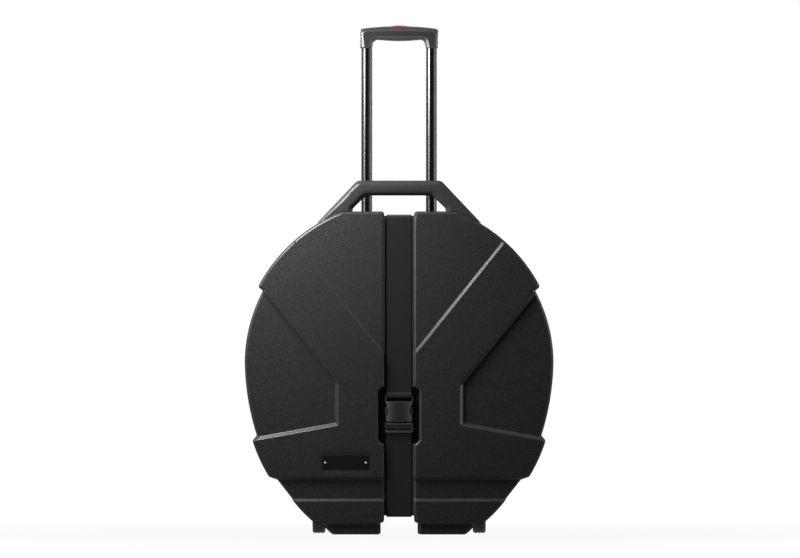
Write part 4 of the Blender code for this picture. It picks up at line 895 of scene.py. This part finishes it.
for draw_in in (0.0004, 0.0016):
    top, under = Vector((side_foot.x - draw_in, grip_low.z)), Vector((inner_foot.x + draw_in, grip_low.z))
    lift = Vector((0, 0.0012 if draw_in < 0.001 else 0))
    depth = GRIP_DEPTH - 2 * draw_in
    grip_sections.append(section(under + lift, top + lift, GRIP_MIDDLE_Y, depth, GRIP_ROLL))
grip_mesh = bmesh.new()
loft(grip_mesh, grip_sections, capped=False)
foot_z = grip_low.z + 1e-6
bmesh.ops.edgeloop_fill(grip_mesh, edges=[
    edge for edge in grip_mesh.edges if edge.is_boundary and all(vert.co.z < foot_z for vert in edge.verts)
])
mirrored(grip_mesh)
bmesh.ops.recalc_face_normals(grip_mesh, faces=grip_mesh.faces)
grip_finish = buckle_finish.copy()
grip_finish.name = "satin_grip"
piece("tow_grip", grip_mesh, "tow_handle", grip_finish, "grip_plastic", "grip")


# Zinc-plated steel for screws, rods and pins: finely brushed, with duller patches.
def noise(tree, scale, detail=2.0, distortion=0.0):
    """Cloudy noise from 0 to 1, fixed to the piece."""
    return add(tree, "TexNoise", {
        "Vector": add(tree, "TexCoord").outputs["Object"], "Scale": scale, "Detail": detail,
        "Distortion": distortion,
    }).outputs["Fac"]


steel_finish, tree = new_finish("zinc_steel")
shade(tree, {
    "Base Color": toned(tree, noise(tree, 60.0), (0, (0.28, 0.28, 0.29)), (1, (0.48, 0.48, 0.49))),
    "Roughness": spread(tree, noise(tree, 600.0), 0.22, 0.38),
    "Metallic": 1.0,
})


# The telescoping tubes, drawn steel. The inner pair is gloss black and slides in the fixed pair,
# which stands in grooves in the base's back. Each has its open ends broken with a small chamfer.
AXES = {"x": ((1, 0, 0), (0, 1, 0)), "y": ((0, 1, 0), (0, 0, 1)), "z": ((0, 0, 1), (1, 0, 0))}


def spun(mesh, profile, axis, at, steps=48):
    """A closed ring of (radius, height) corners spun round an axis."""
    way, side = (Vector(part) for part in AXES[axis])
    at = Vector(at)
    verts = [mesh.verts.new(at + side * radius + way * height) for radius, height in profile]
    edges = [mesh.edges.new(pair) for pair in zip(verts, verts[1:] + verts[:1])]
    bmesh.ops.spin(mesh, geom=edges, cent=at, axis=way, angle=math.radians(360), steps=steps, use_merge=True)
    bmesh.ops.remove_doubles(mesh, verts=mesh.verts, dist=1e-6)
    bmesh.ops.recalc_face_normals(mesh, faces=mesh.faces)


tube_finish, tree = new_finish("gloss_black_tube")
place = add(tree, "TexCoord").outputs["Object"]
drawn = add(tree, "Mapping", {"Vector": place, "Scale": (1, 1, 0.01)}).outputs["Vector"]
streaks = add(tree, "TexNoise", {"Vector": drawn, "Scale": 900.0, "Detail": 3.0}).outputs["Fac"]
shade(tree, {
    "Base Color": toned(tree, streaks, (0, (0.0018, 0.0018, 0.0019)), (1, (0.0032, 0.0032, 0.0034))),
    "Roughness": spread(tree, streaks, 0.20, 0.26),
    "Specular IOR Level": 0.0,
    "Coat Weight": coat(tree, (0.03, 0.0), (0.08, 1.0), (0.22, 1.0), (0.45, 0.20)),
    "Coat Roughness": 0.24,
})


def pipe(mesh, outer, bore, at, length, chamfer=0.0003):
    """An upright pipe with broken ends."""
    spun(mesh, [
        (outer, chamfer), (outer, length - chamfer), (outer - chamfer, length), (bore + chamfer, length),
        (bore, length - chamfer), (bore, chamfer), (bore + chamfer, 0), (outer - chamfer, 0),
    ], "z", at)


for word in ("left", "right"):
    for node, name, body, bore in (
        ("handle_tube_", "sliding_tube_", "tow_handle", 0.0098),
        ("fixed_tube_", "standing_tube_", "case_base", 0.0123),
    ):
        low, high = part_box(node + word)
        centre = (low + high) / 2
        tube_mesh = bmesh.new()
        pipe(tube_mesh, (high.x - low.x) / 2, bore, (centre.x, centre.y, low.z), high.z - low.z)
        piece(name + word, tube_mesh, body, tube_finish, "tube_paint", node + word)


# The release button, moulded in red acetal with a crowned top and softened edges.
button_low, button_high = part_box("release_button")
BUTTON_HALF, BUTTON_CROWN, CROWN_STEPS = button_high.x, 0.0016, 12
crown_way = [BUTTON_HALF * (1 - 2 * step / CROWN_STEPS) for step in range(CROWN_STEPS + 1)]
button_outline = [(x, button_high.z - BUTTON_CROWN * (x / BUTTON_HALF) ** 2) for x in crown_way]
button_outline += [(-BUTTON_HALF, button_low.z), (BUTTON_HALF, button_low.z)]
button_mesh = bmesh.new()
slab(button_mesh, button_outline, button_low.y, button_high.y, 0.0012)


def grained_finish(name, grain, tones, gloss, relief=None, sockets=()):
    """A material whose colour, gloss and relief all follow one noise, given by scale and detail."""
    made, tree = new_finish(name)
    cloud = noise(tree, *grain)
    inputs = {"Base Color": toned(tree, cloud, *tones), "Roughness": spread(tree, cloud, *gloss)}
    if relief:
        inputs["Normal"] = bump(tree, cloud, *relief)
    shade(tree, {**inputs, **dict(sockets)})
    return made


button_finish = grained_finish(
    "red_acetal", (120.0, 3.0), ((0, (0.30, 0.006, 0.018)), (1, (0.42, 0.010, 0.028))), (0.22, 0.34))
piece("red_button", button_mesh, "release", button_finish, "button_plastic", "release_button")

# The return spring under the yoke, coiled from round steel wire.
spring_low, spring_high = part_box("button_spring")
WIRE, TURNS, TURN_STEPS, WIRE_SIDES = 0.0004, 6, 20, 6
spring_centre = (spring_low + spring_high) / 2
coil_radius, coil_rise = spring_high.x - WIRE, spring_high.z - spring_low.z - 2 * WIRE
round_wire = [math.radians(360) * corner / WIRE_SIDES for corner in range(WIRE_SIDES)]
coil_sections = []
for step in range(TURNS * TURN_STEPS + 1):
    share = step / (TURNS * TURN_STEPS)
    turn = math.radians(360) * TURNS * share
    rise = spring_low.z + WIRE + coil_rise * share
    outward = Vector((math.cos(turn), math.sin(turn), 0))
    centre = Vector((spring_centre.x, spring_centre.y, rise)) + outward * coil_radius
    coil_sections.append([
        centre + outward * WIRE * math.cos(angle) + Vector((0, 0, WIRE * math.sin(angle)))
        for angle in round_wire
    ])
spring_mesh = bmesh.new()
loft(spring_mesh, coil_sections)
spring = piece("return_spring", spring_mesh, "tow_handle", steel_finish, "steel", "button_spring")
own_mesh(spring)


# The plate on the lid, a bare strip of gloss black enamelled aluminium that stands in a pressed
# seat, and its two rivets, steel with low domed heads.
plate_low, plate_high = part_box("name_plate")
PLATE_ROUND = 0.002
plate_corners = [(Vector(corner), PLATE_ROUND) for corner in (
    (plate_high.x, plate_high.z), (plate_high.x, plate_low.z), (plate_low.x, plate_low.z),
    (plate_low.x, plate_high.z),
)]
plate_mesh = bmesh.new()
slab(plate_mesh, [tuple(point) for point in filleted(plate_corners)], plate_low.y, plate_high.y, 0.0005)
plate_finish, tree = new_finish("black_enamel")
orange_peel = noise(tree, 260.0)
facing = add(tree, "LayerWeight").outputs["Facing"]
shade(tree, {
    "Base Color": toned(tree, orange_peel, (0, (0.002, 0.002, 0.0021)), (1, (0.004, 0.004, 0.0042))),
    "Roughness": spread(tree, orange_peel, 0.12, 0.22),
    "Normal": bump(tree, orange_peel, 0.10, 0.0002),
    "Specular IOR Level": 0.06,
    "Coat Weight": spread(tree, facing, 0.0, 1.0, 0.01, 0.10),
    "Coat Roughness": 0.15,
})
piece("lid_plate", plate_mesh, "lid", plate_finish, "plate", "name_plate")
for word in ("left", "right"):
    low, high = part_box("plate_rivet_" + word)
    centre, length = (low + high) / 2, high.y - low.y
    rivet_mesh = bmesh.new()
    spun(rivet_mesh, [
        (0, 0), (0.0008, 0.0001), (0.0014, 0.0003), (0.0018, 0.0006), (0.0019, 0.0008), (0.0013, 0.0008),
        (0.0013, length), (0, length),
    ], "y", (centre.x, low.y, centre.z), 24)
    piece("plate_rivet_head_" + word, rivet_mesh, "lid", steel_finish, "steel", "plate_rivet_" + word)


# The wheels: a hard rubber tyre with two grooves in its tread, shrunk on a moulded hub with six
# ribs. Each runs on an axle bolt with a spacer washer outside the well and a nut inside.
WHEEL_RADIUS, WHEEL_Y, WHEEL_WIDTH = 0.034, 0.064, 0.026
rubber_finish = grained_finish(
    "hard_rubber", (140.0, 6.0), ((0.35, (0.008, 0.008, 0.008)), (0.80, (0.026, 0.025, 0.024))), (0.55, 0.78),
    (0.3, 0.0003), {"Specular IOR Level": 0.3})
hardware_finish = buckle_finish.copy()
hardware_finish.name = "moulded_hardware"

TYRE_IN, HUB_OUT, BORE, AXLE_RADIUS = 0.025, 0.0247, 0.0033, 0.003
INNER_X, RIB_WIDE, RIB_THICK, RIB_LONG, RIB_RADIUS = 0.148, 0.0090, 0.0020, 0.0138, 0.0157
shoulder = [(0.0290, 0), (0.0308, 0.0004), (0.0324, 0.0014), (0.0334, 0.0030), (WHEEL_RADIUS, 0.0050)]
groove_floor = WHEEL_RADIUS - 0.0012
groove = [(WHEEL_RADIUS, -0.0009), (groove_floor, -0.0006), (groove_floor, 0.0006), (WHEEL_RADIUS, 0.0009)]
grooves = [(radius, middle + shift) for middle in (0.0095, 0.0165) for radius, shift in groove]
far_shoulder = [(radius, WHEEL_WIDTH - height) for radius, height in reversed(shoulder)]
tyre_profile = [(TYRE_IN, 0), *shoulder, *grooves, *far_shoulder, (TYRE_IN, WHEEL_WIDTH)]
hub_profile = [
    (BORE, 0.0003), (0.0082, 0.0003), (0.0090, 0.0010), (0.0098, 0.0080), (0.0108, 0.0098),
    (0.0202, 0.0098), (0.0214, 0.0080), (0.0226, 0.0010), (0.0234, 0.0003), (HUB_OUT, 0.0003),
    (HUB_OUT, 0.0257), (0.0234, 0.0257), (0.0226, 0.0250), (0.0214, 0.0180), (0.0202, 0.0162),
    (0.0108, 0.0162), (0.0098, 0.0180), (0.0090, 0.0250), (0.0082, 0.0225), (BORE, 0.0225),
]
for side, word in ((1, "right"), (-1, "left")):
    def wheel_piece(name, mesh, body, finish, slot, node):
        """Place a mesh made along X at the wheel's axle on this side, and stand it for its node."""
        bmesh.ops.translate(mesh, verts=mesh.verts, vec=(0, WHEEL_Y, WHEEL_RADIUS))
        if side < 0:
            bmesh.ops.scale(mesh, verts=mesh.verts, vec=(-1, 1, 1))
            bmesh.ops.reverse_faces(mesh, faces=mesh.faces)
        piece(f"{name}_{word}", mesh, body, finish, slot, f"{node}_{word}", sharp=32)

    tyre_mesh = bmesh.new()
    spun(tyre_mesh, tyre_profile, "x", (INNER_X, 0, 0), 64)
    wheel_piece("tyre", tyre_mesh, "wheel_" + word, rubber_finish, "tread", "wheel_tyre")
    hub_mesh = bmesh.new()
    spun(hub_mesh, hub_profile, "x", (INNER_X, 0, 0), 48)
    for spoke in range(6):
        for rib_x in (0.0012, 0.0158):
            rib = bmesh.ops.create_cube(hub_mesh, size=1)["verts"]
            bmesh.ops.scale(hub_mesh, verts=rib, vec=(RIB_WIDE, RIB_THICK, RIB_LONG))
            bmesh.ops.translate(hub_mesh, verts=rib, vec=(INNER_X + rib_x + RIB_WIDE / 2, 0, RIB_RADIUS))
            turn = Matrix.Rotation(math.radians(60) * spoke, 3, "X")
            bmesh.ops.rotate(hub_mesh, verts=rib, cent=(0, 0, 0), matrix=turn)
    wheel_piece("hub", hub_mesh, "wheel_" + word, hardware_finish, "hardware_plastic", "wheel_hub")
    low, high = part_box("axle_right")
    length = high.x - low.x
    axle_mesh = bmesh.new()
    spun(axle_mesh, [
        (0, 0), (0.0025, 0), (AXLE_RADIUS, 0.0005), (AXLE_RADIUS, length - 0.0033), (0.0055, length - 0.0033),
        (0.0055, length - 0.0014), (0.0042, length - 0.0003), (0.0022, length), (0, length),
    ], "x", (low.x, 0, 0), 32)
    wheel_piece("axle_bolt", axle_mesh, "case_base", steel_finish, "steel", "axle")
    for node, name, flat, wide, chamfer, steps in (
        ("axle_washer", "spacer", 0.0066, 0.0070, 0.0004, 32),
        ("axle_nut", "hex_nut", 0.0045, 0.0052, 0.0006, 6),
    ):
        low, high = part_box(node + "_right")
        length = high.x - low.x
        ring_mesh = bmesh.new()
        spun(ring_mesh, [
            (BORE, 0), (flat, 0), (wide, chamfer), (wide, length - chamfer), (flat, length), (BORE, length),
        ], "x", (low.x, 0, 0), steps)
        wheel_piece(name, ring_mesh, "case_base", steel_finish, "steel", node)


# The collars and feet that hold the fixed tubes in their grooves, moulded in glass-filled nylon.
# Each is a block bored for the tube with a wing on both sides, held by two round-headed screws.
GROOVE_FILL, TUBE_CLEAR, SQUARE_TURN = 0.0172, 0.0138, 1.2
for word in ("right", "left"):
    tube_low, tube_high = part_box("fixed_tube_" + word)
    tube_y = (tube_low.y + tube_high.y) / 2
    for kind in ("tube_collar_", "tube_foot_"):
        low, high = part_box(kind + word)
        middle_x, half = (low.x + high.x) / 2, (high.x - low.x) / 2
        wing_y = base_high.y + GAP
        near_half = [
            (half - 0.0012, high.y), (half, high.y - 0.0012), (half, wing_y), (GROOVE_FILL, wing_y),
            (GROOVE_FILL, low.y + 0.0015), (GROOVE_FILL - 0.0015, low.y),
        ]
        outline = [(-x, y) for x, y in near_half] + near_half[::-1]
        bracket_mesh = bmesh.new()
        rim = [bracket_mesh.verts.new((middle_x + x, y, low.z)) for x, y in outline]
        rim_edges = [bracket_mesh.edges.new(pair) for pair in zip(rim, rim[1:] + rim[:1])]
        bore = bmesh.ops.create_circle(bracket_mesh, segments=48, radius=TUBE_CLEAR)["verts"]
        bmesh.ops.translate(bracket_mesh, verts=bore, vec=(middle_x, tube_y, low.z))
        bore_edges = list({edge for vert in bore for edge in vert.link_edges})
        bmesh.ops.triangle_fill(bracket_mesh, edges=rim_edges + bore_edges, use_beauty=True)
        risen(bracket_mesh, bracket_mesh.faces[:], (0, 0, high.z - low.z))
        level_rims = [
            edge for edge in bracket_mesh.edges
            if not edge.is_boundary and edge.calc_face_angle(0) > SQUARE_TURN
            and abs(edge.verts[0].co.z - edge.verts[1].co.z) < 1e-6
        ]
        eased(bracket_mesh, level_rims, 0.0008, 2)
        piece(f"{kind}block_{word}", bracket_mesh, "case_base", hardware_finish, "hardware_plastic",
              kind + word, sharp=30)
        for place in ("inner", "outer"):
            node = f"{kind}screw_{place}_{word}"
            screw_low, screw_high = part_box(node)
            centre, length = (screw_low + screw_high) / 2, screw_high.y - screw_low.y
            head, shank = (screw_high.x - screw_low.x) / 2, 0.0018
            screw_mesh = bmesh.new()
            spun(screw_mesh, [
                (0, 0), (shank * 0.6, 0.0002), (shank, 0.0012), (shank, length - 0.0021),
                (head, length - 0.0021), (head, length - 0.0016), (head * 0.86, length - 0.0007),
                (head * 0.58, length - 0.0001), (head * 0.40, length), (head * 0.36, length - 0.0010),
                (0, length - 0.0010),
            ], "y", (centre.x, screw_low.y, centre.z), 24)
            piece(node + "_round_head", screw_mesh, "case_base", steel_finish, "steel", node, sharp=32)

# The small steel and nylon parts inside the handle: they keep the frame's shapes, with a finish.
for node, made_of in (
    ("push_rod", steel_finish), ("lock_pin", steel_finish), ("grip_screw", steel_finish),
    ("tube_bush", hardware_finish),
):
    for word in ("left", "right"):
        bpy.data.objects[f"{node}_{word}"].material_slots[0].material = made_of
bpy.data.objects["push_yoke"].material_slots[0].material = hardware_finish


# The foam inside, two discs cut from charcoal sheet foam and glued in, each with a hole for the
# post. Their cut edges are soft and their faces swell a little round the hole.
foam_finish, tree = new_finish("charcoal_foam")
place = add(tree, "TexCoord").outputs["Object"]
cells = add(tree, "TexVoronoi", {"Vector": place, "Scale": 620.0}).outputs["Distance"]
shade(tree, {
    "Base Color": toned(tree, cells, (0, (0.018, 0.018, 0.020)), (1, (0.052, 0.052, 0.056))),
    "Roughness": spread(tree, noise(tree, 14.0), 0.85, 0.98),
    "Normal": bump(tree, cells, 0.8, 0.0008),
    "Specular IOR Level": 0.2,
})
PAD_HOLE = 0.026


def soft_disc(radius, hole, thick, edge, swell):
    """A foam disc's profile, with rounded edges and a face that swells between them."""
    bend = [math.radians(15) * step for step in range(7)]
    near_rim = [(hole + edge - edge * math.cos(a), edge - edge * math.sin(a)) for a in bend]
    far_rim = [(radius - edge + edge * math.sin(a), edge - edge * math.cos(a)) for a in bend]
    across = [share / 10 for share in range(1, 10)]
    face = [
        (hole + edge + (radius - hole - 2 * edge) * share, -swell * math.sin(math.pi * share) ** 0.6)
        for share in across
    ]
    profile = [(r, h + swell) for r, h in [*near_rim, *face, *far_rim]]
    return [*profile, (radius, thick), (hole, thick)]


for node, radius, body, way in (("lid_pad", 0.150, "lid", -1), ("base_pad", 0.190, "case_base", 1)):
    low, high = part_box(node)
    centre, thick = (low + high) / 2, high.y - low.y
    pad_mesh = bmesh.new()
    spun(pad_mesh, soft_disc(radius, PAD_HOLE, thick, 0.0035, 0.0010), "y", (0, 0, 0), 96)
    if way < 0:
        bmesh.ops.scale(pad_mesh, verts=pad_mesh.verts, vec=(1, -1, 1))
        bmesh.ops.reverse_faces(pad_mesh, faces=pad_mesh.faces)
    bmesh.ops.translate(pad_mesh, verts=pad_mesh.verts, vec=(0, high.y if way < 0 else low.y, centre.z))
    pad = piece("foam_" + node, pad_mesh, body, foam_finish, "foam", node)

# The felt that cushions the cymbals under the wing nut: pressed wool with a fibrous face.
felt_finish = grained_finish(
    "pressed_wool_felt", (900.0, 8.0, 1.5), ((0, (0.16, 0.16, 0.165)), (1, (0.34, 0.34, 0.345))), (0.88, 1.0),
    (0.9, 0.0006), {"Sheen Weight": 0.3})
low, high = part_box("post_felt")
POST_CLEAR, length = 0.0043, high.y - low.y
felt_mesh = bmesh.new()
felt_profile = soft_disc(high.x, POST_CLEAR, length, 0.0020, 0.0004)
felt_profile = felt_profile[:-2] + [(high.x, 0.0062), (high.x - 0.0018, length), (POST_CLEAR, length)]
spun(felt_mesh, felt_profile, "y", (0, low.y, (low.z + high.z) / 2), 64)
felt = piece("felt_washer", felt_mesh, "case_base", felt_finish, "felt", "post_felt")

# The post, turned steel with a flange against the foam's floor and a cut thread at its free end,
# its nylon sleeve, and the cast wing nut.
low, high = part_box("center_post")
POST_Z, POST_RADIUS, THREAD_ROOT, THREAD_PITCH = (low.z + high.z) / 2, 0.0040, 0.0034, 0.00125
THREAD_LENGTH, FLANGE_AT, FLANGE_RADIUS, FLANGE_THICK = 0.040, 0.104, 0.0220, 0.0040
post_profile = [(0, 0), (0.0032, 0.0002)]
height = 0.0008
while height < THREAD_LENGTH:
    post_profile += [(POST_RADIUS, height), (THREAD_ROOT, height + THREAD_PITCH / 2)]
    height += THREAD_PITCH
length = high.y - low.y
post_profile += [
    (POST_RADIUS, height), (POST_RADIUS, FLANGE_AT), (FLANGE_RADIUS - 0.0006, FLANGE_AT),
    (FLANGE_RADIUS, FLANGE_AT + 0.0006), (FLANGE_RADIUS, FLANGE_AT + FLANGE_THICK - 0.0006),
    (FLANGE_RADIUS - 0.0006, FLANGE_AT + FLANGE_THICK), (POST_RADIUS, FLANGE_AT + FLANGE_THICK),
    (POST_RADIUS, length), (0, length),
]
post_mesh = bmesh.new()
spun(post_mesh, post_profile, "y", (0, low.y, POST_Z), 32)
piece("threaded_post", post_mesh, "case_base", steel_finish, "steel", "center_post", sharp=32)
low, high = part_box("post_sleeve")
length = high.y - low.y
sleeve_mesh = bmesh.new()
spun(sleeve_mesh, [
    (POST_CLEAR, 0.0004), (0.0047, 0), (0.0054, 0), (0.0058, 0.0004), (0.0058, length - 0.0004),
    (0.0054, length), (0.0047, length), (POST_CLEAR, length - 0.0004),
], "y", (0, low.y, POST_Z), 32)
piece("nylon_sleeve", sleeve_mesh, "case_base", hardware_finish, "hardware_plastic", "post_sleeve")
low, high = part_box("wing_nut")
HUB_LONG, EAR_HALF, EAR_ROUND = 0.011, 0.0015, 0.0008
wing_mesh = bmesh.new()
spun(wing_mesh, [
    (POST_CLEAR, 0), (0.0070, 0), (0.0076, 0.0010), (0.0080, 0.0070), (0.0080, HUB_LONG - 0.0008),
    (0.0074, HUB_LONG), (POST_CLEAR, HUB_LONG),
], "y", (0, high.y - HUB_LONG, POST_Z), 32)
ear = [
    (0.0066, high.y - 0.0016), (0.0066, high.y - 0.0096), (0.0098, high.y - 0.0150), (0.0140, low.y + 0.0002),
    (0.0168, low.y), (0.0180, low.y + 0.0014), (0.0179, high.y - 0.0110), (0.0160, high.y - 0.0060),
    (0.0120, high.y - 0.0030),
]
for side in (1, -1):
    slab(wing_mesh, on_side(side, ear), POST_Z - EAR_HALF, POST_Z + EAR_HALF, EAR_ROUND, 2, lying=True)
piece("cast_wing_nut", wing_mesh, "wing", steel_finish, "steel", "wing_nut")
